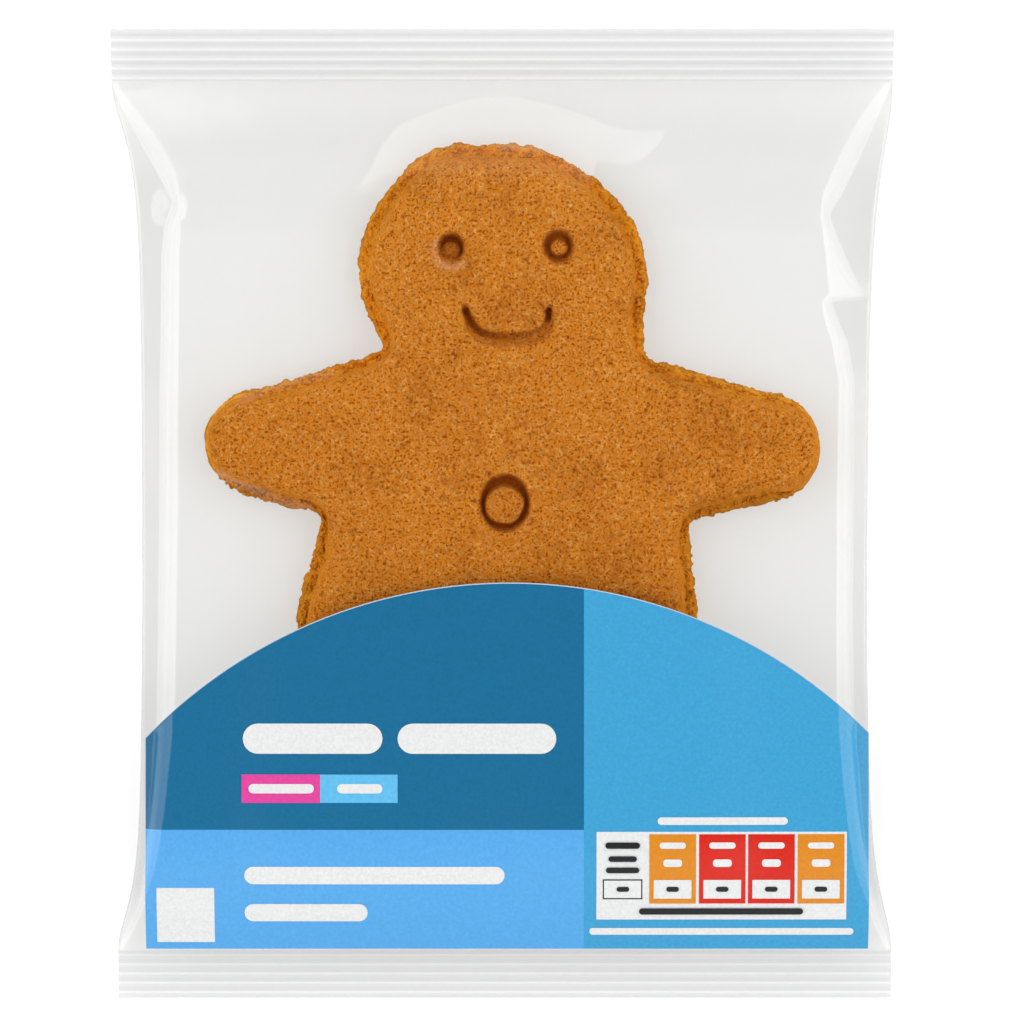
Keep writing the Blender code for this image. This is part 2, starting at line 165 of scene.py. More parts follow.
# The side folds. The film's nose stands at a share of the bag's depth; a nearly flat wing runs
# inwards from it, and a steep band rises from the wing to the front. Each row of a table gives Y,
# the wing's width and the band's width; the folds run straight from row to row.
NOSE_SHARE = 0.58
NOSE_RISE = 0.05
NOSE_WIDTH = 0.10 * MM
WING_RISE = 0.03
BACK_ROUND = 0.10 * MM
LEFT_FOLD = in_mm(
    (69.0, 0.15, 0.9), (67.9, 0.3, 1.3), (63.3, 1.2, 2.8), (58.6, 2.5, 3.3), (54.2, 4.3, 2.9),
    (49.5, 6.3, 1.2), (45.8, 4.6, 2.6), (40.6, 3.8, 2.9), (18.0, 3.1, 3.0), (-35.0, 2.6, 3.0),
    (-56.0, 1.6, 2.2), (-66.0, 0.9, 1.4), (-69.7, 0.15, 0.9),
)
RIGHT_FOLD = in_mm(
    (69.0, 0.15, 0.9), (68.2, 0.3, 1.8), (62.2, 2.4, 3.2), (56.9, 4.0, 3.4), (50.8, 6.2, 3.0),
    (47.8, 8.0, 1.0), (46.5, 7.6, 1.1), (40.1, 4.3, 3.5), (34.6, 1.3, 6.2), (33.8, 6.8, 1.2),
    (31.0, 5.6, 2.0), (27.0, 3.7, 2.6), (21.0, 2.5, 2.5), (-35.0, 2.4, 2.9), (-56.0, 1.6, 2.4),
    (-66.0, 0.9, 1.4), (-69.7, 0.15, 0.9),
)
# How finely the film is meshed.
FILM_ROWS = 440
FRONT_COLUMNS = 160
BACK_COLUMNS = 60
NOSE_POINTS = 7
WING_POINTS = 13
BAND_POINTS = 15

# ---- The biscuit's sizes, as in the solid model ----
BISCUIT_BASE = 0.9 * MM
BISCUIT_THICKNESS = 8.0 * MM
BISCUIT_TOP = BISCUIT_BASE + BISCUIT_THICKNESS
HEAD_CENTRE = (0.15 * MM, 38.0 * MM)
HEAD_HALF_SIZE = (23.0 * MM, 20.8 * MM)
HEAD_TILT = math.radians(-14)
TEMPLE = in_mm((-5.6, 45.6, 13.3), (-2.0, 42.0, 15.5))
CORE = in_mm((0.4, 14.0, 18.0), (-1.0, -12.0, 24.0))
CHEEK = in_mm((8.8, 34.9, 13.7), (11.4, 26.4, 11.3))
LEFT_ARM = in_mm((-39.5, 11.4, 8.0), (-17.0, 11.4, 15.2))
RIGHT_ARM = in_mm((42.0, 10.7, 8.6), (19.0, 10.8, 15.0))
LEFT_ELBOW = in_mm((-37.9, 11.0, 8.7), (-32.5, 10.0, 9.3))
RIGHT_ELBOW = in_mm((42.5, 10.2, 8.3), (35.5, 9.7, 9.2))
LEFT_FLANK = in_mm((-11.3, -2.0, 17.25), (-15.1, -18.0, 17.3))
RIGHT_FLANK = in_mm((12.2, -2.0, 17.3), (13.2, -18.0, 17.8))
LEFT_LEG = (LEFT_FLANK[1], *in_mm((-22.4, -47.2, 11.4)))
RIGHT_LEG = (RIGHT_FLANK[1], *in_mm((21.0, -47.2, 11.4)))
JOIN_FILLET = 1.6 * MM
CHEST = (0.0, 10.0 * MM)
FURTHEST_REACH = 80.0 * MM
OUTLINE_SMOOTHING = 0.35 * MM
INNER_SMOOTHING = 0.9 * MM
FOOT_LEDGE = 1.7 * MM
LEDGE_AT_TIPS = 0.15 * MM
LEAST_LEDGE = 0.12 * MM
ARM_TIPS = in_mm((-47.3, 13.0, 10.6), (50.8, 8.8, 9.6))
SHOULDER_WIDTH = 3.9 * MM
FOOT_SHARE = 0.47
LIP_INSET = 0.2 * MM

# The foot's profile from the underside up, as inset in millimetres and share of the thickness, and
# its ledge's, as share of the ledge's width and of the thickness.
FOOT_PROFILE = (
    (0.75, 0.0), (0.3, 0.03), (0.1, 0.08), (0.0, 0.15), (0.0, 0.24), (0.06, 0.32), (LIP_INSET / MM, 0.39),
)
LEDGE_PROFILE = ((0.40, 0.44), (0.62, 0.455), (0.82, 0.465), (0.96, FOOT_SHARE))

# The round marks pressed into the biscuit: centre, half width, half height and soft edge of the
# hollow, the nub's place from that centre, its radius and how far it fills the hollow, and the depth.
LEFT_EYE = tuple(v * MM for v in (-8.1, 42.2, 2.45, 2.6, 0.95, -0.15, -0.5, 1.5)) + (0.5, 1.9 * MM)
RIGHT_EYE = tuple(v * MM for v in (8.9, 42.4, 2.85, 3.1, 1.15, 0.05, -0.15, 1.4)) + (0.9, 1.6 * MM)
BUTTON = tuple(v * MM for v in (0.42, 1.55, 4.3, 4.85, 0.8, 0.0, -0.35, 3.05)) + (0.95, 1.7 * MM)
ROUND_MARKS = (LEFT_EYE, RIGHT_EYE, BUTTON)
NUB_EDGE = 0.45 * MM
SMILE_LINE = in_mm(
    (-5.75, 31.85), (-5.43, 30.98), (-4.85, 29.88), (-3.98, 28.86), (-2.73, 28.23), (-1.16, 27.87),
    (0.72, 27.74), (2.60, 27.80), (4.48, 28.07), (5.97, 28.62), (6.91, 29.49), (7.35, 30.66), (7.46, 32.0),
)
# The smile's groove: its half width and depth, how far its lower and upper parts are shifted, where it
# is worked out, where its ends begin along Y, and how narrow and deep it is along X in millimetres.
SMILE_HALF_WIDTH = 1.05 * MM
SMILE_FLOOR = 0.3 * MM
SMILE_UPPER_SHIFT = 0.25 * MM
SMILE_MIDDLE, SMILE_REACH = in_mm((0.72, 29.5), (9.0, 5.0))
SMILE_ENDS, SMILE_DEEP_END = in_mm((29.0, 31.2), (29.9, 30.8))
SMILE_NARROWING = ((-6.0, 0.92), (-2.0, 0.72), (6.0, 0.68))
SMILE_STRENGTH = ((-6.0, 1.0), (-3.5, 0.95), (0.0, 0.75), (6.0, 0.55))
SMILE_DEPTH = 1.6 * MM
# How far the marks' painted shade is moved towards the head, so that it lies on their upper walls.
PAINTED_SHADE_SHIFT = -0.3 * MM

# The crumb's grains and slow waves and the foot's lumps: height and size in millimetres, and a seed.
# The ledge has grit, and a narrow ledge is less rough.
CRUMB_GRAINS = ((0.055, 0.62, 41), (0.05, 1.15, 42), (0.09, 6.5, 43))
PIT_DEPTH = 0.3 * MM
FOOT_LUMPS = ((0.15, 3.4, 51), (0.17, 1.5, 52), (0.17, 0.75, 56))
LEDGE_GRIT = 0.22 * MM
FULL_ROUGH_LEDGE = 0.8 * MM

# How crumbly the side is, and how far it faces up, at each share of the thickness.
ROUGH_LEVELS = ((0.0, 0.35), (0.05, 0.8), (0.15, 1.0), (0.47, 1.0), (0.56, 0.3), (0.75, 0.0))
STEEP_LEVELS = ((0.0, 0.0), (0.08, 0.0), (0.5, 0.0), (0.6, 0.1), (0.9, 0.8), (1.0, 1.0))

# How finely the biscuit is meshed, and its loose crumbs.
FIGURE_RAYS = 14400
HALVINGS = 40
RIM_POINTS = 2600
PLATEAU_STEP = 0.56 * MM
MARK_STEP = 0.17 * MM
UNDER_STEP = 1.2 * MM
CRUMB_PLACES = 4000
CRUMB_COUNT = 2800
CRUMB_SEED = 5

# ---- The printed panel's places ----
PANEL_LEFT = -56.8 * MM
PANEL_RIGHT = 58.4 * MM
PANEL_BOTTOM = -69.5 * MM
PANEL_ARC_CENTRE = (1.2 * MM, -91.4 * MM)
PANEL_ARC_RADIUS = 80.4 * MM
PANEL_LIFT = 0.35 * MM
PANEL_THICKNESS = 0.1 * MM
PRINT_STEP = 0.06 * MM
PRINT_GRID = 0.9 * MM
PATCH_ROW = 1.2 * MM
FIELD_DIVIDE_X = 13.0 * MM
FIELD_DIVIDE_Y = -50.3 * MM
ABOVE_ARC = 1.0
FIELD_ROWS = 90
ROUNDED_EDGE = 6.0 * MM
ROUNDED_POINTS = 28
CORNER_POINTS = 7
ARC_LINE_WIDTH = 0.18 * MM

# The fields of colour: ink, left, right, bottom and top.
PRINT_FIELDS = {
    "print_deep_blue": ("ink_deep_blue", PANEL_LEFT, FIELD_DIVIDE_X, FIELD_DIVIDE_Y, ABOVE_ARC),
    "print_mid_blue": ("ink_mid_blue", PANEL_LEFT, FIELD_DIVIDE_X, PANEL_BOTTOM, FIELD_DIVIDE_Y),
    "print_light_blue": ("ink_light_blue", FIELD_DIVIDE_X, PANEL_RIGHT, PANEL_BOTTOM, ABOVE_ARC),
}

# The plain marks on them: ink, layer, corner radius, and each mark's left, right, bottom and top, in
# millimetres. The coloured boxes stand in four columns beside a plain one.
BOX_LEFTS = (23.4, 31.3, 39.1, 47.0)
BOX_WIDTH = 7.4
SMALL_BOX_LEFTS = (24.1, 32.0, 39.8, 47.7)
SMALL_BOX_WIDTH = 6.0
PRINT_MARKS = {
    "print_title_bars": ("ink_white", 1, 2.4, [(-41.2, -19.0, -38.2, -33.4), (-16.6, 8.6, -38.2, -33.4)]),
    "print_name_bars": ("ink_white", 1, 1.4, [(-41.0, 0.4, -59.0, -56.2), (-41.0, -21.4, -65.0, -62.2)]),
    "print_square": ("ink_white", 1, 0.0, [(-55.0, -45.8, -68.4, -59.6)]),
    "print_pink_tab": ("ink_pink", 1, 0.0, [(-41.4, -28.9, -46.0, -41.5)]),
    "print_blue_tab": ("ink_pale_blue", 1, 0.0, [(-28.9, -16.6, -46.0, -41.5)]),
    "print_tab_bars": ("ink_white", 2, 0.75, [(-40.3, -29.9, -44.5, -43.0), (-26.2, -19.0, -44.5, -43.0)]),
    "print_table_ground": ("ink_white", 1, 0.0, [(15.0, 54.8, -64.7, -50.6)]),
    "print_orange_boxes": ("ink_orange", 2, 0.0, [(x, x + BOX_WIDTH, -62.1, -51.0) for x in BOX_LEFTS[::3]]),
    "print_red_boxes": ("ink_red", 2, 0.0, [(x, x + BOX_WIDTH, -62.1, -51.0) for x in BOX_LEFTS[1:3]]),
    "print_box_frame": ("ink_black", 2, 0.0, [(16.0, 22.3, -61.4, -58.2)]),
    "print_small_boxes": (
        "ink_white", 3, 0.0,
        [(16.2, 22.1, -61.2, -58.4)] + [(x, x + SMALL_BOX_WIDTH, -61.3, -58.3) for x in SMALL_BOX_LEFTS],
    ),
    "print_box_bars": (
        "ink_white", 3, 0.5,
        [(x + 1.6, x + 5.8, -53.3, -52.3) for x in BOX_LEFTS]
        + [(x + 2.2, x + 5.2, -56.2, -55.0) for x in BOX_LEFTS],
    ),
    "print_dark_bars": (
        "ink_black", 4, 0.5,
        [(16.4, 21.9, -53.3, -52.3), (16.9, 21.4, -55.4, -54.5), (16.5, 21.8, -57.2, -56.3)]
        + [(21.8, 47.9, -63.9, -62.9)] + [(x + 2.0, x + 4.0, -60.2, -59.4) for x in (16.2, *SMALL_BOX_LEFTS)],
    ),
    "print_small_lines": ("ink_white", 1, 0.6, [(24.7, 45.4, -49.5, -48.3), (13.9, 56.0, -67.2, -66.1)]),
}

# ---- Colours and finishes ----
INKS = {
    "ink_deep_blue": (0.0111, 0.1327, 0.2717),
    "ink_mid_blue": (0.0867, 0.3511, 0.7106),
    "ink_light_blue": (0.047, 0.3145, 0.5674),
    "ink_white": (0.6949, 0.7001, 0.7001),
    "ink_pink": (0.664, 0.060, 0.302),
    "ink_pale_blue": (0.1129, 0.4493, 0.7367),
    "ink_arc": (0.43, 0.53, 0.64),
    "ink_orange": (0.645, 0.228, 0.016),
    "ink_red": (0.600, 0.019, 0.009),
    "ink_black": (0.017, 0.017, 0.019),
    "ink_reverse": (0.53, 0.57, 0.62),
}
CRUST_BODY = (0.672, 0.222, 0.018)
CRUST_SHADE = (0.38, 0.072, 0.000)
CRUST_GRAIN = (0.93, 0.457, 0.114)
# Painted shade in the pressed marks and the crumb's pits, and a random darker tone on loose crumbs.
HOLLOW_SHADE_AND_CRUMB_TONE = (0.19, 0.018, 0.0)
CRUST_DARKER = (0.94, 0.91, 0.86)
CRUST_PATCHES = ((0.25, (0.95, 0.93, 0.90)), (0.75, (1.03, 1.05, 1.08)))
CRUST_FOOT = (0.93, 0.350, 0.014)
# The foot's painted light on the arms' upper sides and its painted shade on their lower sides.
CRUST_FOOT_LIT = (1.0, 0.45, 0.040)
CRUST_FOOT_SHADED = (0.57, 0.222, 0.012)
CRUST_SIDE = (0.52, 0.205, 0.018)
CRUST_WALL = (0.72, 0.255, 0.018)
CRUST_WALL_SHARES = ((0.50, 0.0), (0.60, 0.6), (0.80, 0.5), (0.93, 0.0))
# Where along Y the arms' upper sides, with the foot's painted light, part from their lower sides.
ARM_MIDDLE = 9.0 * MM

# Each film: haze, roughness, least share of gloss, and its tint seen straight, its tint at a grazing
# angle and the further tint where shade is painted on it.
CLEAR_FILM = (0.0003, 0.05, 0.062, (0.9455, 0.9475, 0.9425), (0.92, 0.92, 0.92), (0.957, 0.957, 0.957))
CRIMPED_FILM = (0.03, 0.28, 0.13, (0.972, 0.973, 0.974), (0.4, 0.4, 0.4), (0.971, 0.971, 0.971))
# How far the gloss is dimmed where shade is painted on the film.
DIM_GLOSS = (0.4, 0.4, 0.4)
# How much the painted highlight whitens the film where it touches the biscuit.
TOUCH_HIGHLIGHT = 0.065
RIPPLE_SIZE = 3.5 * MM
RIPPLE_HEIGHT = 0.12 * MM

# ---- Camera, table and studio ----
CAMERA_HEIGHT = 1.3662
CAMERA_LENS = 300.0
CAMERA_SHIFT_X = 1.57 * MM
CAMERA_SHIFT_Y = 0.2 * MM
TABLE_HEIGHT = -0.15 * MM
TABLE_SIDE = 3.0
TABLE_WHITE = 0.54
TABLE_GLOW = 0.525

# How bright the studio is for the cosine of the angle from straight up, how fast it brightens
# towards the sides and changes from the feet to the head, and how bright it is beyond those two.
STUDIO_GLOW = ((0.0, 0.72), (0.50, 0.85), (0.80, 1.0), (0.93, 1.0), (0.977, 0.05), (0.99, 0.0))
STUDIO_SIDE_SPREAD = 1.8
STUDIO_HEAD_SPREAD = 1.6
STUDIO_AT_FEET = 0.12
STUDIO_AT_HEAD = ((0.0, 0.35), (0.25, 0.35), (0.40, 0.15), (1.0, 0.15))
STUDIO_STRENGTH = 2.07


# ---- Making meshes ----


def new_mesh_object(name, points, faces, material):
    """A mesh from an array of points and an array of faces, shaded smooth."""
    mesh = bpy.data.meshes.new(name)
    mesh.from_pydata(points, [], faces)
    mesh.materials.append(material)
    mesh.polygons.foreach_set("use_smooth", np.ones(len(mesh.polygons), bool))
    mesh.update()
    thing = bpy.data.objects.new(name, mesh)
    bpy.context.scene.collection.objects.link(thing)
    return thing


def keep_values(thing, name, values):
    """Stores a number for each of a mesh's points, for its material."""
    attribute = thing.data.attributes.new(name, "FLOAT", "POINT")
    attribute.data.foreach_set("value", values.ravel().astype(np.float32))


def grid_faces(rows, columns, wrap=False):
    """Quads of a grid stored row by row; with wrap, the last column joins the first."""
    row = np.arange(rows - 1)[:, None] * columns
    column = np.arange(columns if wrap else columns - 1)[None, :]
    beside = (column + 1) % columns
    corners = (row + column, row + beside, row + columns + beside, row + columns + column)
    return np.stack(corners, axis=-1).reshape(-1, 4)


def lattice_noise(x, y, z, size, seed):
    """Smooth random values from -1 to 1: random numbers on a lattice of cells, blended between."""
    cells, blends = [], []
    for place in (x, y, z):
        cell = np.floor(place / size).astype(np.int64)
        part = place / size - cell
        cells.append(cell)
        blends.append(part * part * (3.0 - 2.0 * part))
    total = 0.0
    for corner in itertools.product((0, 1), repeat=3):
        weight = 1.0
        for step, blend in zip(corner, blends):
            weight = weight * (blend if step else 1.0 - blend)
        total = total + weight * scatter(*(cell + step for cell, step in zip(cells, corner)), seed)
    return 2.0 * total - 1.0


def flat_noise(x, y, size, seed):
    """The same on places without a height."""
    return lattice_noise(x, y, 0 * x, size, seed)


def scatter(ix, iy, iz, seed):
    """A repeatable random number from 0 to 1 for each whole-numbered cell."""
    mixed = (ix * 73856093) ^ (iy * 19349663) ^ (iz * 83492791) ^ (seed * 2654435761)
    mixed = (mixed ^ (mixed >> 13)) * 1274126177 & 0x7FFFFFFF
    mixed = (mixed ^ (mixed >> 15)) * 668265263 & 0x7FFFFFFF
    return ((mixed ^ (mixed >> 16)) & 0xFFFFF) / float(0xFFFFF)


def eased(share):
    """A smooth step: 0 below 0, 1 above 1 and level at both ends."""
    share = np.clip(share, 0.0, 1.0)
    return share * share * (3.0 - 2.0 * share)


def eased_over(value, span):
    """A smooth step from 0 at a span's start to 1 at its end."""
    start, end = span
    return eased((value - start) / (end - start))


def read_off(table, at):
    """Values from a table of places and values, straight between its rows."""
    places, values = zip(*table)
    return np.interp(at, places, values)


def quarter_turn(points):
    """One minus the cosine at even angles over a quarter of a circle."""
    return 1.0 - np.cos(np.linspace(0.0, np.pi / 2, points))


def from_segment(x, y, start, end):
    """How far each place lies along a segment, from 0 to 1, and its distance to the segment."""
    (ax, ay), (bx, by) = start, end
    along = ((x - ax) * (bx - ax) + (y - ay) * (by - ay)) / ((bx - ax) ** 2 + (by - ay) ** 2)
    along = np.clip(along, 0.0, 1.0)
    return along, np.hypot(x - ax - along * (bx - ax), y - ay - along * (by - ay))


def from_line(x, y, points):
    """The distance to an open line through the given points."""
    nearest = np.full(np.shape(x), FURTHEST_REACH)
    for start, end in zip(points[:-1], points[1:]):
        nearest = np.minimum(nearest, from_segment(x, y, start, end)[1])
    return nearest


# ---- The film's form ----


def flare(distance, reach):
    """How much of a seal's extra width is left at a distance from that seal, from 1 down to 0."""
    return 1.0 / (1.0 + (np.maximum(distance, 0.0) / reach) ** 2)


def sides(y):
    """The bag's left and right edges, drawn in between the two wider seals."""
    taper = TOP_SEAL_TAPER * np.maximum(0.0, y - TOP_SEAL_INNER) / TOP_SEAL_HEIGHT
    edges = []
    for waist, bottom_half, top_reach, bottom_reach in (LEFT_SIDE, RIGHT_SIDE):
        at_top = (TOP_SEAL_HALF_WIDTH - TOP_SEAL_TAPER - waist) * flare(TOP_SEAL_INNER - y, top_reach)
        at_bottom = (bottom_half - waist) * flare(y - BOTTOM_SEAL_INNER, bottom_reach)
        edges.append(waist + np.maximum(at_top, at_bottom) + taper)
    return -edges[0], edges[1]


def seal_distance(y):
    """How far a place lies inside the nearer seal; negative on the seals."""
    return np.minimum(TOP_SEAL_INNER - y, y - BOTTOM_SEAL_INNER)


def ribs(y, top_phase, bottom_phase):
    """The nearer seal's inner edge, its ribs' pitch and its one of two phases."""
    at_top = y > 0
    inner = np.where(at_top, TOP_SEAL_INNER, BOTTOM_SEAL_INNER)
    pitch = np.where(at_top, TOP_RIB_PITCH, BOTTOM_RIB_PITCH)
    return inner, pitch, np.where(at_top, top_phase, bottom_phase)


def crimp(y):
    """The seals' corrugation: a wave across each seal that leans towards the head.

    It is a cosine whose phase runs ahead and behind by a cosine of its own, and it fades out on the
    plain hem at the top.
    """
    inner, pitch, start = ribs(y, TOP_RIB_PHASE, BOTTOM_RIB_PHASE)
    turn = 2 * np.pi * ((y - inner) / pitch + start)
    wave = np.cos(turn + RIB_LEAN * np.cos(turn))
    on_seal = np.clip(-seal_distance(y) / (0.5 * pitch) + 0.5, 0.0, 1.0)
    before_hem = np.clip((TOP_EDGE - PLAIN_HEM - y) / (0.5 * pitch) + 0.5, 0.0, 1.0)
    return -0.5 * RIB_HEIGHT * wave * on_seal * before_hem


def rib_shade(y):
    """How much shade is painted on the crimped film across each rib, from 0 to 1, and nearly even and
    darker by the print.

    Going down from each dark line, it is a cosine of a power of the share of the pitch, so that it
    brightens fast and darkens slowly.
    """
    inner, pitch, start = ribs(y, TOP_SHADE_PHASE, BOTTOM_SHADE_PHASE)
    share = np.mod((inner - y) / pitch + start, 1.0)
    dark = 0.5 + 0.5 * np.cos(2 * np.pi * share**RIB_SHADE_POWER)
    by_print = np.where(y > 0, 0.0, EVEN_BY_PRINT * np.exp(-(inner - y) / EVEN_REACH))
    return np.where(seal_distance(y) < 0, 1.0 - (1.0 - dark) * (1.0 - by_print), 0.0)


def painted_film_shade(x, y):
    """How much shade is painted on the film.

    That is on the side wings, near the top seal and beyond the veil's crease, most at its right end,
    and less at the two painted highlights below the seal.
    """
    inward, wing, band = near_side(x, y, 0.0)
    inside = seal_distance(y)
    on_wing = WING_SHADE * np.clip((wing - inward) / WING_EDGE + 0.5, 0.0, 1.0)
    distances, shades = np.array(SEAL_SHADES).T
    below_seal = np.where(y > 0, np.interp(inside, distances * MM, shades, right=0.0), 0.0)
    below_seal = below_seal * eased((inward - wing + 0.3 * band) / (2.2 * band))
    # Less painted shade at two places, which show as painted highlights.
    for glow_x, glow_y, reach in SEAL_GLOWS:
        away = np.hypot(x - glow_x, GLOW_SQUASH * (y - glow_y)) / reach
        below_seal = below_seal * (1.0 - GLOW_STRENGTH * np.exp(-(away**2)))
    from_crease = np.maximum(-veil_depth(x, y), 0.0)
    to_right = eased_over(x, CREASE_RIGHT_RISE) * eased_over(x, CREASE_RIGHT_FALL)
    beyond = (CREASE_SHADE + CREASE_SHADE_RIGHT * to_right) * eased_over(y, CREASE_HEAD_RISE)
    beyond = beyond * np.exp(-from_crease / CREASE_SHADE_REACH)
    return np.where(inside > 0, np.maximum(on_wing, np.maximum(below_seal, beyond)), 0.0)


def off_seal(y):
    """How far the front film has risen off the nearer seal, from 0 to 1."""
    return np.tanh(np.maximum(0.0, seal_distance(y)) / FRONT_RISE)


def back_height(y):
    """The back film: flat on the table, rising in a parabola to each lifted seal."""
    inside = np.maximum(seal_distance(y), 0.0)
    return (SEAL_LIFT - FILM_GAP) * np.maximum(0.0, 1.0 - inside / BACK_RUN) ** 2 + crimp(y)


def front_edge_height(y):
    """The front film where it turns into the side: it rises off each seal and levels out."""
    low = SEAL_LIFT + FILM_GAP
    return low + (EDGE_DEPTH - low) * off_seal(y) + crimp(y)


def fold_widths(y, table):
    """The wing's and the band's width at each place along one side."""
    places, wings, bands = np.array(table[::-1]).T
    return np.interp(y, places, wings), np.interp(y, places, bands)


def near_side(x, y, lift):
    """Each place's way in from the nearer side, and that side's wing and band widths."""
    left, right = sides(y)
    from_left, from_right = x - left + lift, right + lift - x
    left_wing, left_band = fold_widths(y, LEFT_FOLD)
    right_wing, right_band = fold_widths(y, RIGHT_FOLD)
    on_left = from_left < from_right
    inward = np.maximum(np.where(on_left, from_left, from_right), 0.0)
    return inward, np.where(on_left, left_wing, right_wing), np.where(on_left, left_band, right_band)


def front_height(x, y, lift=0.0):
    """The front film over any place, or a sheet lifted off it.

    From each side: a small round nose, the wing, the band as a quarter of a sine wave, and then the
    front, which is slightly crowned and sinks a little beyond the biscuit's outline.
    """
    left, right = sides(y)
    inward, wing, band = near_side(x, y, lift)
    middle, half = (left + right) / 2, (right - left) / 2
    bulge = np.maximum(0.0, 1.0 - ((x - middle) / half) ** 2)
    level = off_seal(y)
    bottom = back_height(y)
    top = front_edge_height(y) + CROWN * bulge * level
    for dent_x, dent_y, deep in CORNER_DENTS:
        away = np.hypot((x - dent_x) / DENT_HALF_WIDTH, (y - dent_y) / DENT_HALF_HEIGHT)
        top = top - deep * np.exp(-(away**2)) * np.tanh(np.maximum(0.0, seal_distance(y)) / DENT_START)
    top = top - DRAPE_DEPTH * level * eased((figure_distance(x, y) - DRAPE_START) / DRAPE_RUN)
    depth = top - bottom
    nose = np.sqrt(1.0 - (1.0 - np.clip(inward / NOSE_WIDTH, 0.0, 1.0)) ** 2)
    slope = np.clip(inward / wing, 0.0, 1.0)
    rise = np.sin(0.5 * np.pi * np.clip((inward - wing) / band, 0.0, 1.0))
    share = NOSE_SHARE + NOSE_RISE * nose + WING_RISE * slope
    share = share + (1.0 - NOSE_SHARE - NOSE_RISE - WING_RISE) * rise
    on_front = eased((inward - wing) / (2.0 * band))
    knot = knot_height(x, y) * eased(inward / MM)
    return bottom + depth * share + creases(x, y) * on_front + knot + lift


def knot_height(x, y):
    """The small crumpled knot where the left fold bends: a rounded square with a rough top."""
    centre_x, centre_y, half_x, half_y, rise = KNOT
    across, along = np.abs(x - centre_x) / half_x, np.abs(y - centre_y) / half_y
    inside = eased((1.0 - (across**3 + along**3) ** (1.0 / 3.0)) / 0.3)
    return inside * (rise + KNOT_CRUMPLE * flat_noise(x + y, x - y, 2.6 * MM, 12))


def creases(x, y):
    """The film's soft unevenness: slow waves, and puckers that run out from the seals."""
    inside = np.maximum(seal_distance(y), 0.0)
    loose = np.tanh(inside / LOOSE_START)
    relief = SLOW_WAVE * flat_noise(x, y, 26.0 * MM, 3) * loose
    relief = relief + SLOW_WAVE * 0.35 * flat_noise(x, y, 11.0 * MM, 4) * loose
    pucker = flat_noise(x, 0.22 * y, 5.0 * MM, 9)
    return relief + PUCKER * pucker * loose * np.exp(-inside / PUCKER_RUN) + veil(x, y)


def painted_touch_highlight(x, y):
    """How much a painted highlight whitens the film where it touches the biscuit: it fades out across
    each short line.
    """
    touch = np.zeros(np.shape(x))
    for half_width, strength, points in PAINTED_TOUCH_HIGHLIGHTS:
        away = from_line(x, y, in_mm(*points)) / (half_width * MM)
        touch = np.maximum(touch, strength * eased(1.0 - away))
    return touch


def veil_depth(x, y):
    """How far a place lies inside the veil's line; negative outside, and not worked out far from it."""
    line = np.array(VEIL_CREASE + VEIL_END)
    flat = np.column_stack((np.ravel(x), np.ravel(y)))
    near = (np.abs(flat[:, 0]) < VEIL_REACH) & (flat[:, 1] > VEIL_LOW) & (flat[:, 1] < VEIL_HIGH)
    depth = np.full(len(flat), -FURTHEST_REACH)
    away = from_line(flat[near, 0], flat[near, 1], np.concatenate((line, line[:1])))
    depth[near] = np.where(inside_of(flat[near], line), away, -away)
    return depth.reshape(np.shape(x))


def veil(x, y):
    """The film's facet round the top of the head: it rises from a crisp crease towards the head."""
    climb = VEIL_SLOPE * np.maximum(veil_depth(x, y), 0.0)
    over_head = eased(-figure_distance(x, y) / VEIL_FADE)
    return VEIL_RISE * np.tanh(climb / VEIL_RISE) * (1.0 - over_head)


def film_rows():
    """Where the film's rows lie along Y: as many to each rib on both seals, and even between them."""
    step = BOTTOM_RIB_PITCH / ROWS_PER_RIB
    low = np.arange(BOTTOM_EDGE, BOTTOM_SEAL_INNER + BOTTOM_RIB_PITCH, step)
    high = np.arange(TOP_SEAL_INNER - TOP_RIB_PITCH, TOP_EDGE, step)
    between = np.linspace(low[-1], high[0], FILM_ROWS - len(low) - len(high) + 2)[1:-1]
    return np.concatenate((low, between, high, [TOP_EDGE]))


def side_steps(wing, band):
    """Columns inwards from a side: round the nose, over the wing and up the band."""
    nose = np.minimum(NOSE_WIDTH, 0.5 * wing)[:, None] * quarter_turn(NOSE_POINTS)[None, :]
    wing_part = np.linspace(0.0, 1.0, WING_POINTS)[None, 1:]
    over_wing = nose[:, -1:] + (wing[:, None] - nose[:, -1:]) * wing_part
    up_band = wing[:, None] + band[:, None] * np.linspace(0.0, 1.0, BAND_POINTS)[None, 1:]
    return np.concatenate((nose, over_wing, up_band), axis=1)


def film_columns(y, inner_columns):
    """X of each column in each row: both side folds and even steps between them."""
    left, right = sides(y)
    left_steps = left[:, None] + side_steps(*fold_widths(y, LEFT_FOLD))
    right_steps = right[:, None] - side_steps(*fold_widths(y, RIGHT_FOLD))[:, ::-1]
    start, end = left_steps[:, -1:], right_steps[:, :1]
    inner = start + (end - start) * np.linspace(0.0, 1.0, inner_columns)[None, 1:-1]
    return np.concatenate((left_steps, inner, right_steps), axis=1)


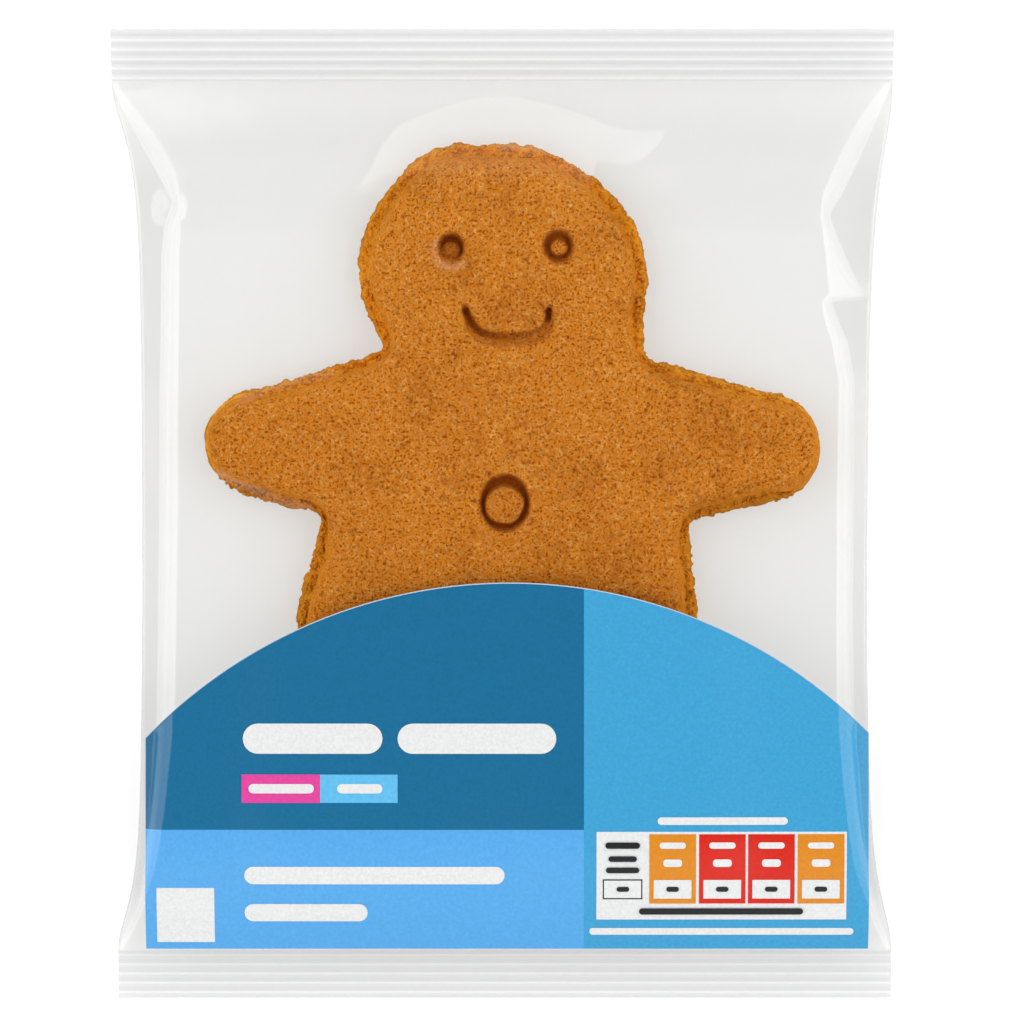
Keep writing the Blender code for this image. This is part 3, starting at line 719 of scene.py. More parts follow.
def make_film(name, inner_columns, height, upward, film, seal):
    """One face of the bag: a grid over the rows and columns above, lifted to the given height."""
    y = film_rows()
    x = film_columns(y, inner_columns)
    rows, columns = x.shape
    deep_y = np.repeat(y[:, None], columns, axis=1)
    points = np.stack((x, deep_y, height(x, deep_y)), axis=-1).reshape(-1, 3)
    faces = grid_faces(rows, columns)
    if not upward:
        faces = faces[:, ::-1]
    sheet = new_mesh_object(name, points, faces, film)
    sheet.data.materials.append(seal)
    middle = (y[1:] + y[:-1]) / 2
    on_seal = np.repeat(seal_distance(middle) < 0, columns - 1).astype(np.int32)
    sheet.data.polygons.foreach_set("material_index", on_seal)
    # Stored for the film's material: painted shade on the ribs and elsewhere, the veil's line, inside which
    # no shade is painted so that the veil shows as a painted highlight, and the painted highlight where the
    # film touches the biscuit.
    keep_values(sheet, "shade", rib_shade(deep_y) + painted_film_shade(x, deep_y))
    keep_values(sheet, "veil", veil_depth(x, deep_y) / VEIL_EDGE)
    keep_values(sheet, "touch", painted_touch_highlight(x, deep_y) if upward else 0 * x)
    return sheet


def under_height(x, y):
    """The back film over any place: a quarter of an oval below each nose, and flat between them."""
    left, right = sides(y)
    bottom = back_height(y)
    rise = NOSE_SHARE * (front_edge_height(y) - bottom - DRAPE_DEPTH * off_seal(y))
    share = np.clip(np.minimum(x - left, right - x) / BACK_ROUND, 0.0, 1.0)
    return bottom + rise * (1.0 - np.sqrt(1.0 - (1.0 - share) ** 2))


# ---- The biscuit's outline ----


def oval(x, y, centre, half_size, tilt):
    """Distance to a tilted oval, near enough close to its edge; negative inside."""
    right, up = x - centre[0], y - centre[1]
    dx = (right * math.cos(tilt) + up * math.sin(tilt)) / half_size[0]
    dy = (up * math.cos(tilt) - right * math.sin(tilt)) / half_size[1]
    share = np.hypot(dx, dy)
    slope = np.hypot(dx / half_size[0], dy / half_size[1])
    return share * (share - 1.0) / np.maximum(slope, 1e-6)


def round_cone(x, y, start, end):
    """Distance to a bar with two round ends of unlike size; negative inside."""
    along, away = from_segment(x, y, start[:2], end[:2])
    return away - start[2] - along * (end[2] - start[2])


def smooth_union(a, b):
    """The nearer of two distances, with a fillet where they are about equal."""
    blend = np.clip(0.5 + 0.5 * (b - a) / JOIN_FILLET, 0.0, 1.0)
    return b + (a - b) * blend - JOIN_FILLET * blend * (1.0 - blend)


def figure_distance(x, y):
    """Distance to the figure's outline, negative inside: head, arms, body and legs run together."""
    distance = oval(x, y, HEAD_CENTRE, HEAD_HALF_SIZE, HEAD_TILT)
    for start, end in (CORE, CHEEK, LEFT_FLANK, RIGHT_FLANK, LEFT_LEG, RIGHT_LEG, LEFT_ARM, RIGHT_ARM):
        distance = smooth_union(distance, round_cone(x, y, start, end))
    for start, end in (TEMPLE, LEFT_ELBOW, RIGHT_ELBOW):
        distance = np.minimum(distance, round_cone(x, y, start, end))
    return distance


def figure_line(count):
    """The outline as a closed line, found on rays from the chest by halving."""
    angles = np.linspace(0.0, 2 * np.pi, count, endpoint=False)
    near = np.zeros_like(angles)
    far = np.full_like(angles, FURTHEST_REACH)
    for _ in range(HALVINGS):
        reach = (near + far) / 2
        outside = figure_distance(CHEST[0] + reach * np.cos(angles), CHEST[1] + reach * np.sin(angles)) > 0
        far = np.where(outside, reach, far)
        near = np.where(outside, near, reach)
    return np.column_stack((CHEST[0] + near * np.cos(angles), CHEST[1] + near * np.sin(angles)))


def outward(line):
    """Unit normals of a closed line that runs anticlockwise, pointing out of it."""
    along = np.roll(line, -1, axis=0) - np.roll(line, 1, axis=0)
    along /= np.hypot(along[:, 0], along[:, 1])[:, None]
    return np.column_stack((along[:, 1], -along[:, 0]))


def smoothed(line, reach):
    """A closed line of evenly spaced points with every wiggle shorter than about the reach taken out."""
    step = np.hypot(*(line[1] - line[0]))
    waves = np.fft.fftfreq(len(line)) / step
    weight = np.exp(-2.0 * (np.pi * waves * reach) ** 2)
    return np.fft.ifft(np.fft.fft(line, axis=0) * weight[:, None], axis=0).real


def evenly(count, lines):
    """Points at even steps of closed lines that are walked together, for the sum of their lengths."""
    closed = [np.concatenate((line, line[:1])) for line in lines]
    steps = sum(np.hypot(*np.diff(line, axis=0).T) for line in closed)
    travelled = np.concatenate(([0.0], np.cumsum(steps)))
    places = np.linspace(0.0, travelled[-1], count, endpoint=False)
    return [np.column_stack([np.interp(places, travelled, line[:, k]) for k in (0, 1)]) for line in closed]


def even_rim(count, inset):
    """Points on the outline and their inward steps, even for the outline and a line inset from it."""
    line = smoothed(evenly(3 * count, [figure_line(FIGURE_RAYS)])[0], OUTLINE_SMOOTHING)
    inner = smoothed(line - inset * outward(line), INNER_SMOOTHING)
    line, inner = evenly(count, [line, inner])
    return line, (line - inner) / inset


def ledge_width(x, y):
    """How far the foot stands out past the moulded top: pinched to a little at the arms' tips."""
    width = FOOT_LEDGE * (1.0 + 0.22 * flat_noise(x, y, 9.0 * MM, 21))
    for tip_x, tip_y, reach in ARM_TIPS:
        away = np.hypot(x - tip_x, y - tip_y) / reach
        width = width - (FOOT_LEDGE - LEDGE_AT_TIPS) * np.exp(-(away**6))
    return np.maximum(width, LEAST_LEDGE)


# ---- The biscuit's surface ----


def ring_mark(x, y, mark):
    """A round hollow with soft edges and a nub left standing in it.

    The hollow's depth is an eased step inwards over its edge's width. The nub fills it again by an
    eased step of its own, up to a share of the depth.
    """
    centre_x, centre_y, half_x, half_y, edge, nub_x, nub_y, nub_radius, nub_share, depth = mark
    dx, dy = x - centre_x, y - centre_y
    mean = 0.5 * (half_x + half_y)
    wobble = 0.10 * MM * flat_noise(x, y, 0.8 * MM, 31)
    away = (np.hypot(dx / half_x, dy / half_y) - 1.0) * mean + wobble
    hollow = eased(-away / edge)
    lump = 0.22 * MM * flat_noise(x, y, 2.2 * MM, 32)
    from_nub = np.hypot(dx - nub_x, dy - nub_y) - nub_radius + lump
    nub = eased(0.5 - from_nub / NUB_EDGE)
    rounded = 0.2 * np.clip(from_nub / nub_radius + 1.0, 0.0, 1.0) ** 2
    return depth * hollow * (1.0 - nub * (nub_share - rounded))


def smile_mark(x, y):
    """A groove along the smile's line: narrow and deep at its ends, and deep along its upper side.

    Two grooves overlap: a wide shallow one, and a narrow deep one a little nearer to the head, which
    grows shallower towards the right until shortly before that end.
    """
    near = (np.abs(x - SMILE_MIDDLE[0]) < SMILE_REACH[0]) & (np.abs(y - SMILE_MIDDLE[1]) < SMILE_REACH[1])
    px, py = x[near], y[near]
    wobble = 0.07 * MM * flat_noise(px, py, 1.0 * MM, 33)
    to_end = eased_over(py, SMILE_ENDS)
    wide = SMILE_HALF_WIDTH * (1.2 - 0.45 * to_end)
    lower = from_line(px, py + SMILE_FLOOR * (1.0 - to_end), SMILE_LINE)
    shallow = 0.5 * eased((wide - lower - wobble) / (0.55 * wide))
    narrow = read_off(SMILE_NARROWING, px / MM) * SMILE_HALF_WIDTH
    strength = np.maximum(read_off(SMILE_STRENGTH, px / MM), eased_over(py, SMILE_DEEP_END))
    upper = from_line(px, py - SMILE_UPPER_SHIFT, SMILE_LINE)
    deep = strength * eased((narrow - upper - wobble) / (0.7 * narrow))
    mark = np.zeros(np.shape(x))
    mark[near] = SMILE_DEPTH * np.maximum(shallow, deep)
    return mark


def marks(x, y):
    """How deep the eyes, the smile and the button are pressed in at each place."""
    deep = smile_mark(x, y)
    for mark in ROUND_MARKS:
        deep = np.maximum(deep, ring_mark(x, y, mark))
    return deep


def pits(x, y, z, cell, radius, share, seed):
    """Small round holes, one in a share of the cells, from 0 outside to 1 at a hole's middle."""
    cells = [np.floor(place / cell).astype(np.int64) for place in (x, y, z)]
    deepest = np.zeros_like(x)
    for steps in itertools.product((-1, 0, 1), repeat=3):
        near = [index + step for index, step in zip(cells, steps)]
        centre = [(index + scatter(*near, seed + axis)) * cell for axis, index in enumerate(near)]
        size = radius * (0.55 + 0.9 * scatter(*near, seed + 3))
        away = np.sqrt(sum((place - middle) ** 2 for place, middle in zip((x, y, z), centre))) / size
        there = scatter(*near, seed + 4) < share
        deepest = np.maximum(deepest, np.where(there, np.clip(1.0 - away**2, 0.0, 1.0), 0.0))
    return deepest


def crumb_relief(x, y, z):
    """The baked crumb: fine grains, a slow unevenness and scattered pits, in metres outwards."""
    relief = 0.0
    for height, size, seed in CRUMB_GRAINS:
        relief = relief + height * MM * lattice_noise(x, y, z, size * MM, seed)
    return relief - PIT_DEPTH * pits(x, y, z, 1.55 * MM, 0.34 * MM, 0.35, 44)


def side_profile(ledge):
    """The biscuit's side from its underside to the top: inset and height for each rim point.

    The foot bulges a little and ends in a ledge. Above the ledge the moulded side rises in a
    rounded shoulder: its height is a power of how far it has stepped in.
    """
    insets = [np.full_like(ledge, step * MM) for step, _ in FOOT_PROFILE]
    insets += [LIP_INSET + np.maximum(ledge - LIP_INSET, 0.0) * part for part, _ in LEDGE_PROFILE]
    shares = [share for _, share in FOOT_PROFILE + LEDGE_PROFILE]
    wall_foot = FOOT_SHARE + 0.02
    for t in np.linspace(0.0, 1.0, 12) ** 1.7:
        insets.append(np.maximum(ledge, 1.1 * LIP_INSET) + SHOULDER_WIDTH * t)
        shares.append(wall_foot + (1.0 - wall_foot) * (1.0 - (1.0 - t) ** 2.5) ** (1.0 / 2.2))
    return np.array(insets), np.array(shares)


def crumbly_edge(x, y, z):
    """How far crumbs push the foot in or out: lumps with flat faces and steps, and finer grit.

    A lump is a smooth noise whose values are drawn towards plus and minus one.
    """
    lumps = 0.0
    for height, size, seed in FOOT_LUMPS:
        lumps = lumps + height * MM * np.tanh(3.5 * lattice_noise(x, y, z, size * MM, seed))
    return lumps + 0.13 * MM * lattice_noise(x, y, z, 0.42 * MM, 53)


def hex_grid(low, high, step):
    """Points in rows a step apart, every other row shifted by half a step."""
    columns = np.arange(low[0], high[0], step)
    rows = np.arange(low[1], high[1], step * math.sqrt(3) / 2)
    x = columns[None, :] + (np.arange(len(rows)) % 2)[:, None] * step / 2
    return np.column_stack((x.ravel(), np.repeat(rows, len(columns))))


def inside_of(points, line):
    """True for each point inside a closed line, by counting the sides that a ray to the right meets."""
    ahead = np.roll(line, -1, axis=0)
    result = np.zeros(len(points), bool)
    for block in np.array_split(np.arange(len(points)), max(1, len(points) // 4000)):
        x, y = points[block, 0][:, None], points[block, 1][:, None]
        straddles = (line[:, 1] > y) != (ahead[:, 1] > y)
        rise = np.where(ahead[:, 1] == line[:, 1], 1.0, ahead[:, 1] - line[:, 1])
        meets = x < (ahead[:, 0] - line[:, 0]) * (y - line[:, 1]) / rise + line[:, 0]
        result[block] = (straddles & meets).sum(axis=1) % 2 == 1
    return result


def shrunk(line, by):
    """A closed line moved inwards by a distance."""
    return line - outward(line) * by


def fill_inside(line, points):
    """Triangles between a closed line and the points inside it. The line's own points come first."""
    count = len(line)
    together = np.concatenate((line, points)) / MM
    edges = np.column_stack((np.arange(count), (np.arange(count) + 1) % count))
    found = delaunay_2d_cdt(together.tolist(), edges.tolist(), [], 1, 1e-9)
    source = np.array([kept[0] for kept in found[3]])
    return source[np.array(found[2])]


def near_marks(points):
    """True for the points close to an eye, the button or the smile, which take a finer mesh."""
    close = np.zeros(len(points), bool)
    for mark in ROUND_MARKS:
        close |= np.hypot(points[:, 0] - mark[0], points[:, 1] - mark[1]) < mark[3] + 0.3 * MM
    return close | (smile_mark(points[:, 0], points[:, 1]) > 0.005 * SMILE_DEPTH)


def plateau_points(line):
    """Points on the flat top: an even grid, with a finer one near the pressed marks."""
    low, high = line.min(axis=0), line.max(axis=0)
    coarse = hex_grid(low, high, PLATEAU_STEP)
    coarse = coarse[~near_marks(coarse)]
    fine = hex_grid(low, high, MARK_STEP)
    fine = fine[near_marks(fine)]
    points = np.concatenate((coarse, fine))
    return points[inside_of(points, shrunk(line, 0.5 * PLATEAU_STEP))]


def biscuit_side(edge, normals, shares, insets):
    """The side's points, ring by ring: the outline stepped in, roughened, with grit on the ledge."""
    ledge = ledge_width(edge[:, 0], edge[:, 1])
    x = edge[:, 0] - normals[:, 0] * insets
    y = edge[:, 1] - normals[:, 1] * insets
    z = np.repeat((BISCUIT_BASE + BISCUIT_THICKNESS * shares)[:, None], RIM_POINTS, axis=1)
    push = crumbly_edge(x, y, z) * read_off(ROUGH_LEVELS, shares)[:, None]
    push = push * np.clip(ledge / FULL_ROUGH_LEDGE, 0.2, 1.0)
    x, y = x + normals[:, 0] * push, y + normals[:, 1] * push
    on_ledge = np.exp(-((shares - FOOT_SHARE + 0.02) / 0.05) ** 2)[:, None]
    coarse, fine = lattice_noise(x, y, z, 1.2 * MM, 54), lattice_noise(x, y, z, 0.6 * MM, 55)
    return np.stack((x, y, z + LEDGE_GRIT * (coarse + fine) * on_ledge), axis=-1)


def make_biscuit(crust):
    """The biscuit as one closed skin: its side carried round the outline, its top and its underside."""
    edge, normals = even_rim(RIM_POINTS, FOOT_LEDGE + SHOULDER_WIDTH)
    insets, shares = side_profile(ledge_width(edge[:, 0], edge[:, 1]))
    side = biscuit_side(edge, normals, shares, insets)
    levels = len(shares)
    side_count = levels * RIM_POINTS

    rim_line = side[-1, :, :2]
    flat = plateau_points(rim_line)
    top_faces = fill_inside(rim_line, flat)
    top_start = side_count - RIM_POINTS
    top_faces = np.where(top_faces < RIM_POINTS, top_faces + top_start, top_faces - RIM_POINTS + side_count)

    under_line = side[0, :, :2]
    under = hex_grid(under_line.min(axis=0), under_line.max(axis=0), UNDER_STEP)
    under = under[inside_of(under, shrunk(under_line, 0.6 * UNDER_STEP))]
    under_faces = fill_inside(under_line, under)
    under_start = side_count + len(flat)
    under_faces = np.where(under_faces < RIM_POINTS, under_faces, under_faces - RIM_POINTS + under_start)
    points = np.concatenate((
        side.reshape(-1, 3),
        np.column_stack((flat, np.full(len(flat), BISCUIT_TOP))),
        np.column_stack((under, np.full(len(under), BISCUIT_BASE))),
    ))

    facing = np.zeros_like(points)
    steep = read_off(STEEP_LEVELS, shares)
    facing[:side_count, :2] = (normals[None] * (1.0 - steep)[:, None, None]).reshape(-1, 2)
    facing[:side_count, 2] = np.repeat(steep, RIM_POINTS)
    facing[side_count:under_start, 2] = 1.0
    facing[under_start:, 2] = -1.0
    relief = crumb_relief(points[:, 0], points[:, 1], points[:, 2])
    relief[under_start:] *= 0.3
    pressed = marks(points[:, 0], points[:, 1]) * (points[:, 2] > BISCUIT_TOP - 0.5 * MM)
    relief *= 1.0 - 0.75 * np.clip(pressed / (0.5 * MM), 0.0, 1.0)
    points = points + facing * relief[:, None]
    points[:, 2] -= pressed

    quads = grid_faces(levels, RIM_POINTS, wrap=True)
    faces = quads.tolist() + top_faces.tolist() + under_faces[:, ::-1].tolist()
    biscuit = new_mesh_object("gingerbread", points, faces, crust)
    # Painted shade: darker in the pressed marks, moved towards the head onto their upper walls, and in the
    # crumb's dents.
    shade = marks(points[:, 0], points[:, 1] + PAINTED_SHADE_SHIFT) * (points[:, 2] > BISCUIT_TOP - 2.5 * MM)
    in_pits = 0.8 * np.clip(-relief / (0.22 * MM), 0.0, 1.0)
    keep_values(biscuit, "hollow", in_pits + (0.4 * pressed + 0.7 * shade) / BUTTON[-1])
    return biscuit


# ---- Loose crumbs on the foot ----


def icosahedron():
    """The twelve corners and twenty faces of a regular icosahedron of radius one."""
    golden = (1.0 + math.sqrt(5.0)) / 2.0
    corners = []
    for a, b in itertools.product((-1.0, 1.0), (-golden, golden)):
        corners += [(0.0, a, b), (a, b, 0.0), (b, 0.0, a)]
    corners = np.array(corners) / math.hypot(1.0, golden)
    gap = np.linalg.norm(corners[:, None] - corners[None, :], axis=-1)
    close = (gap > 0.1) & (gap < 1.1)
    faces = []
    for i, j, k in itertools.combinations(range(12), 3):
        if close[i, j] and close[j, k] and close[i, k]:
            out = np.dot(np.cross(corners[j] - corners[i], corners[k] - corners[i]), corners[i])
            faces.append((i, j, k) if out > 0 else (i, k, j))
    return corners, np.array(faces)


def make_crumbs(crust):
    """Small angular crumbs stuck along the foot: one icosahedron, stretched and turned at random."""
    random = np.random.default_rng(CRUMB_SEED)
    edge, normals = even_rim(CRUMB_PLACES, FOOT_LEDGE)
    ledge = ledge_width(edge[:, 0], edge[:, 1])
    picked = random.choice(np.flatnonzero(ledge > 0.6 * MM), CRUMB_COUNT)
    ledge = ledge[picked]
    inset = random.uniform(0.06, 0.95, CRUMB_COUNT) * ledge
    place = edge[picked] - normals[picked] * inset[:, None]
    level = np.where(inset > 0.3 * MM, 0.455, random.uniform(0.15, 0.42, CRUMB_COUNT))
    height = BISCUIT_BASE + BISCUIT_THICKNESS * level
    size = 0.13 * MM + 0.33 * MM * random.uniform(0.0, 1.0, CRUMB_COUNT) ** 2.0
    stretch = random.uniform(0.65, 1.25, (CRUMB_COUNT, 3))
    corners, faces = icosahedron()
    turns = random.normal(size=(CRUMB_COUNT, 4))
    w, i, j, k = (turns / np.linalg.norm(turns, axis=1)[:, None]).T
    turned = np.stack((
        np.stack((1 - 2 * (j * j + k * k), 2 * (i * j - k * w), 2 * (i * k + j * w)), axis=-1),
        np.stack((2 * (i * j + k * w), 1 - 2 * (i * i + k * k), 2 * (j * k - i * w)), axis=-1),
        np.stack((2 * (i * k - j * w), 2 * (j * k + i * w), 1 - 2 * (i * i + j * j)), axis=-1),
    ), axis=1)
    lumps = corners[None] * random.uniform(0.78, 1.1, (CRUMB_COUNT, 12, 1))
    shapes = np.einsum("nab,npb->npa", turned, lumps * stretch[:, None, :]) * size[:, None, None]
    centres = np.column_stack((place, height))
    points = (shapes + centres[:, None, :]).reshape(-1, 3)
    all_faces = (faces[None] + 12 * np.arange(CRUMB_COUNT)[:, None, None]).reshape(-1, 3)
    crumbs = new_mesh_object("foot_crumbs", points, all_faces, crust)
    keep_values(crumbs, "hollow", np.repeat(random.uniform(0.0, 0.4, CRUMB_COUNT) ** 1.5, 12))
    return crumbs


# ---- The printed panel ----


def panel_top(x):
    """The arc along the top of the printed panel."""
    return PANEL_ARC_CENTRE[1] + np.sqrt(PANEL_ARC_RADIUS**2 - (x - PANEL_ARC_CENTRE[0]) ** 2)


def lifted(x, y, lift):
    """Points on a sheet that follows the front film a distance off it."""
    return np.stack((x, y, front_height(x, y, lift)), axis=-1)


def shoulder_steps(low, high):
    """Steps across the print, finer near the pack's rounded sides."""
    even = np.linspace(low, high, max(2, int(round((high - low) / PRINT_GRID)) + 1))
    fine = ROUNDED_EDGE * quarter_turn(ROUNDED_POINTS)
    steps = [even]
    if low < PANEL_LEFT + ROUNDED_EDGE:
        steps.append(low + fine)
    if high > PANEL_RIGHT - ROUNDED_EDGE:
        steps.append(high - fine)
    return np.unique(np.clip(np.concatenate(steps), low, high).round(7))


def sharpen_rim(mesh):
    """Marks an open sheet's outer edges as sharp, so that its thickness doesn't bend its shading."""
    sheet = bmesh.new()
    sheet.from_mesh(mesh)
    for edge in sheet.edges:
        edge.smooth = not edge.is_boundary
    sheet.to_mesh(mesh)
    sheet.free()


def thicken(sheet, thickness):
    """Gives an open sheet its thickness, downwards from its upper face."""
    sharpen_rim(sheet.data)
    wall = sheet.modifiers.new("thickness", "SOLIDIFY")
    wall.thickness = thickness
    wall.offset = -1.0
    return wall


def print_field(name, ink, reverse, low_x, high_x, low_y, high_y):
    """A field of the panel: a grid between straight sides and, at its top, the panel's arc."""
    x = shoulder_steps(low_x, high_x)
    top = np.minimum(high_y, panel_top(x))
    y = low_y + (top - low_y)[None, :] * np.linspace(0.0, 1.0, FIELD_ROWS)[:, None]
    points = lifted(np.repeat(x[None, :], FIELD_ROWS, axis=0), y, PANEL_LIFT)
    field = new_mesh_object(name, points.reshape(-1, 3), grid_faces(FIELD_ROWS, len(x)), ink)
    field.data.materials.append(reverse)
    thicken(field, PANEL_THICKNESS).material_offset = 1
    return field


def rounded_patch(low_x, high_x, low_y, high_y, radius, layer):
    """A rectangle with rounded corners on the print: its rows pull in towards top and bottom."""
    radius = min(radius, (high_y - low_y) / 2, (high_x - low_x) / 2)
    near = radius * quarter_turn(CORNER_POINTS)
    pulled = radius * (1.0 - np.sin(np.linspace(0.0, np.pi / 2, CORNER_POINTS)))
    rows = max(2, int((high_y - low_y) / PATCH_ROW))
    middle = np.linspace(low_y + radius, high_y - radius, rows)[1:-1]
    y = np.concatenate((low_y + near, middle, (high_y - near)[::-1]))
    pull = np.concatenate((pulled, 0 * middle, pulled[::-1]))
    columns = max(2, int((high_x - low_x) / PRINT_GRID) + 1)
    share = np.linspace(0.0, 1.0, columns)[None, :]
    x = (low_x + pull)[:, None] + (high_x - low_x - 2 * pull)[:, None] * share
    deep_y = np.repeat(y[:, None], columns, axis=1)
    points = lifted(x, deep_y, PANEL_LIFT + layer * PRINT_STEP)
    return points.reshape(-1, 3), grid_faces(len(y), columns)


def print_marks(name, ink, layer, radius, boxes):
    """Several rounded rectangles in one colour, as one piece of print."""
    all_points, all_faces, first = [], [], 0
    for box in boxes:
        points, faces = rounded_patch(*(side * MM for side in box), radius * MM, layer)
        all_points.append(points)
        all_faces.append(faces + first)
        first += len(points)
    piece = new_mesh_object(name, np.concatenate(all_points), np.concatenate(all_faces), ink)
    thicken(piece, 0.4 * PRINT_STEP)
    return piece


def arc_line(ink):
    """A thin pale line along the panel's arc."""
    x = shoulder_steps(PANEL_LEFT, PANEL_RIGHT)
    top = panel_top(x)
    points = lifted(np.stack((x, x)), np.stack((top - ARC_LINE_WIDTH, top)), PANEL_LIFT + PRINT_STEP)
    return new_mesh_object("print_arc_line", points.reshape(-1, 3), grid_faces(2, len(x)), ink)


def make_print(inks):
    """The printed panel: three fields of blue, with plain bars and boxes on them."""
    reverse = inks["ink_reverse"]
    pieces = [print_field(name, inks[ink], reverse, *edges) for name, (ink, *edges) in PRINT_FIELDS.items()]
    pieces.append(arc_line(inks["ink_arc"]))
    for name, (ink, layer, radius, boxes) in PRINT_MARKS.items():
        pieces.append(print_marks(name, inks[ink], layer, radius, boxes))
    return pieces


# ---- Materials ----


def add_node(tree, kind, inputs=(), **settings):
    """A shader node. Each of its inputs takes another node's output, a number or a colour."""
    node = tree.nodes.new("ShaderNode" + kind)
    for name, value in settings.items():
        setattr(node, name, value)
    for name, value in dict(inputs).items():
        socket = node.inputs[name]
        if isinstance(value, bpy.types.NodeSocket):
            tree.links.new(value, socket)
        elif socket.type == "RGBA":
            socket.default_value = (*value, 1.0)
        else:
            socket.default_value = value
    return node


def new_material(name):
    """A material with an empty node tree."""
    material = bpy.data.materials.new(name)
    material.use_nodes = True
    material.node_tree.nodes.clear()
    return material, material.node_tree


def to_output(tree, shader):
    """Joins the last shader to the material's output."""
    add_node(tree, "OutputMaterial", {"Surface": shader.outputs[0]})


def mixed(tree, factor, first, second, blend="MIX"):
    """A colour mix; a factor or a colour may be a node's output or a plain value."""
    inputs = {"Factor": factor, "A": first, "B": second}
    return add_node(tree, "Mix", inputs, data_type="RGBA", blend_type=blend).outputs["Result"]


def maths(tree, operation, first, second=0.0, clamp=False):
    """A sum on two inputs, each a node's output or a plain number."""
    return add_node(tree, "Math", {0: first, 1: second}, operation=operation, use_clamp=clamp).outputs[0]


def past(tree, value, start, slope):
    """How far a value has come past a start, from 0 to 1. A negative slope counts downwards."""
    return maths(tree, "MULTIPLY", maths(tree, "SUBTRACT", value, start), slope, clamp=True)


def noise_on(tree, size, detail, shift=0.0):
    """A noise texture on object coordinates, with blobs of about the given size in metres."""
    place = add_node(tree, "TexCoord").outputs["Object"]
    moved = add_node(tree, "Mapping", {"Vector": place, "Location": (shift,) * 3, "Scale": (1.0 / size,) * 3})
    noise = {"Vector": moved.outputs["Vector"], "Scale": 1.0, "Detail": detail}
    return add_node(tree, "TexNoise", noise).outputs["Fac"]


def ramp_on(tree, source, stops):
    """A colour ramp, with a colour or a gray value at each of its stops."""
    ramp = add_node(tree, "ValToRGB", {"Fac": source})
    while len(ramp.color_ramp.elements) < len(stops):
        ramp.color_ramp.elements.new(0.5)
    for element, (place, colour) in zip(ramp.color_ramp.elements, stops):
        element.position = place
        element.color = (*(colour if isinstance(colour, tuple) else (colour,) * 3), 1.0)
    return ramp.outputs["Color"]


def kept(tree, name):
    """The number stored under a name for each of a mesh's points."""
    return add_node(tree, "Attribute", attribute_name=name).outputs["Fac"]


def bent_by(tree, height, strength, distance):
    """The surface's direction, bent by a height."""
    return add_node(tree, "Bump", {"Height": height, "Strength": strength, "Distance": distance}).outputs[0]


def rippled(tree):
    """The surface's direction on film that isn't quite smooth."""
    return bent_by(tree, noise_on(tree, RIPPLE_SIZE, 3.0), 0.12, RIPPLE_HEIGHT)


def film_material(name, haze, roughness, gloss_share, clear_tint, grazing_tint, shade_tint):
    """Clear film: see-through, with a mirror-like gloss and more absorption towards grazing. Painted
    shade tints it darker and dims its gloss, but none is painted inside the veil's line, which shows
    as a painted highlight; a painted highlight whitens it where it touches the biscuit.

    The gloss is a least share plus 0.8 times the cube of how far the face turns from the eye, up to a
    half. It is the same for both faces, since the film is too thin to trap light.
    """
    material, tree = new_material(name)
    facing = add_node(tree, "LayerWeight", {"Blend": 0.5}).outputs["Facing"]
    # Painted shade from the stored value, none inside the veil's line: it darkens the tint and the gloss.
    outside_veil = maths(tree, "SUBTRACT", 0.5, kept(tree, "veil"), clamp=True)
    shade = maths(tree, "MULTIPLY", kept(tree, "shade"), outside_veil)
    tint = mixed(tree, maths(tree, "POWER", facing, 6.0), clear_tint, grazing_tint)
    tint = mixed(tree, shade, tint, mixed(tree, 1.0, tint, shade_tint, "MULTIPLY"))
    clear = add_node(tree, "BsdfTransparent", {"Color": tint})
    # The film's own haze, with the painted highlight added where it touches the biscuit.
    whitening = add_node(tree, "BsdfDiffuse", {"Color": (0.9, 0.9, 0.9)})
    haze_and_highlight = maths(tree, "ADD", maths(tree, "MULTIPLY", kept(tree, "touch"), TOUCH_HIGHLIGHT), haze, clamp=True)
    body = add_node(tree, "MixShader", {0: haze_and_highlight, 1: clear.outputs[0], 2: whitening.outputs[0]})
    gloss = add_node(tree, "BsdfGlossy", {
        "Color": mixed(tree, shade, (1.0, 1.0, 1.0), DIM_GLOSS),
        "Roughness": roughness,
        "Normal": rippled(tree),
    })
    share = maths(tree, "ADD", maths(tree, "MULTIPLY", maths(tree, "POWER", facing, 3.0), 0.8), gloss_share)
    share = maths(tree, "MINIMUM", share, 0.5)
    to_output(tree, add_node(tree, "MixShader", {0: share, 1: body.outputs[0], 2: gloss.outputs[0]}))
    return material


def squiggles(tree, size, width, shift):
    """Thin winding lines: where a noise field passes its middle value, fading over the width."""
    off_middle = maths(tree, "ABSOLUTE", maths(tree, "SUBTRACT", noise_on(tree, size, 0.6, shift), 0.5))
    return maths(tree, "SUBTRACT", 1.0, maths(tree, "DIVIDE", off_middle, width), clamp=True)


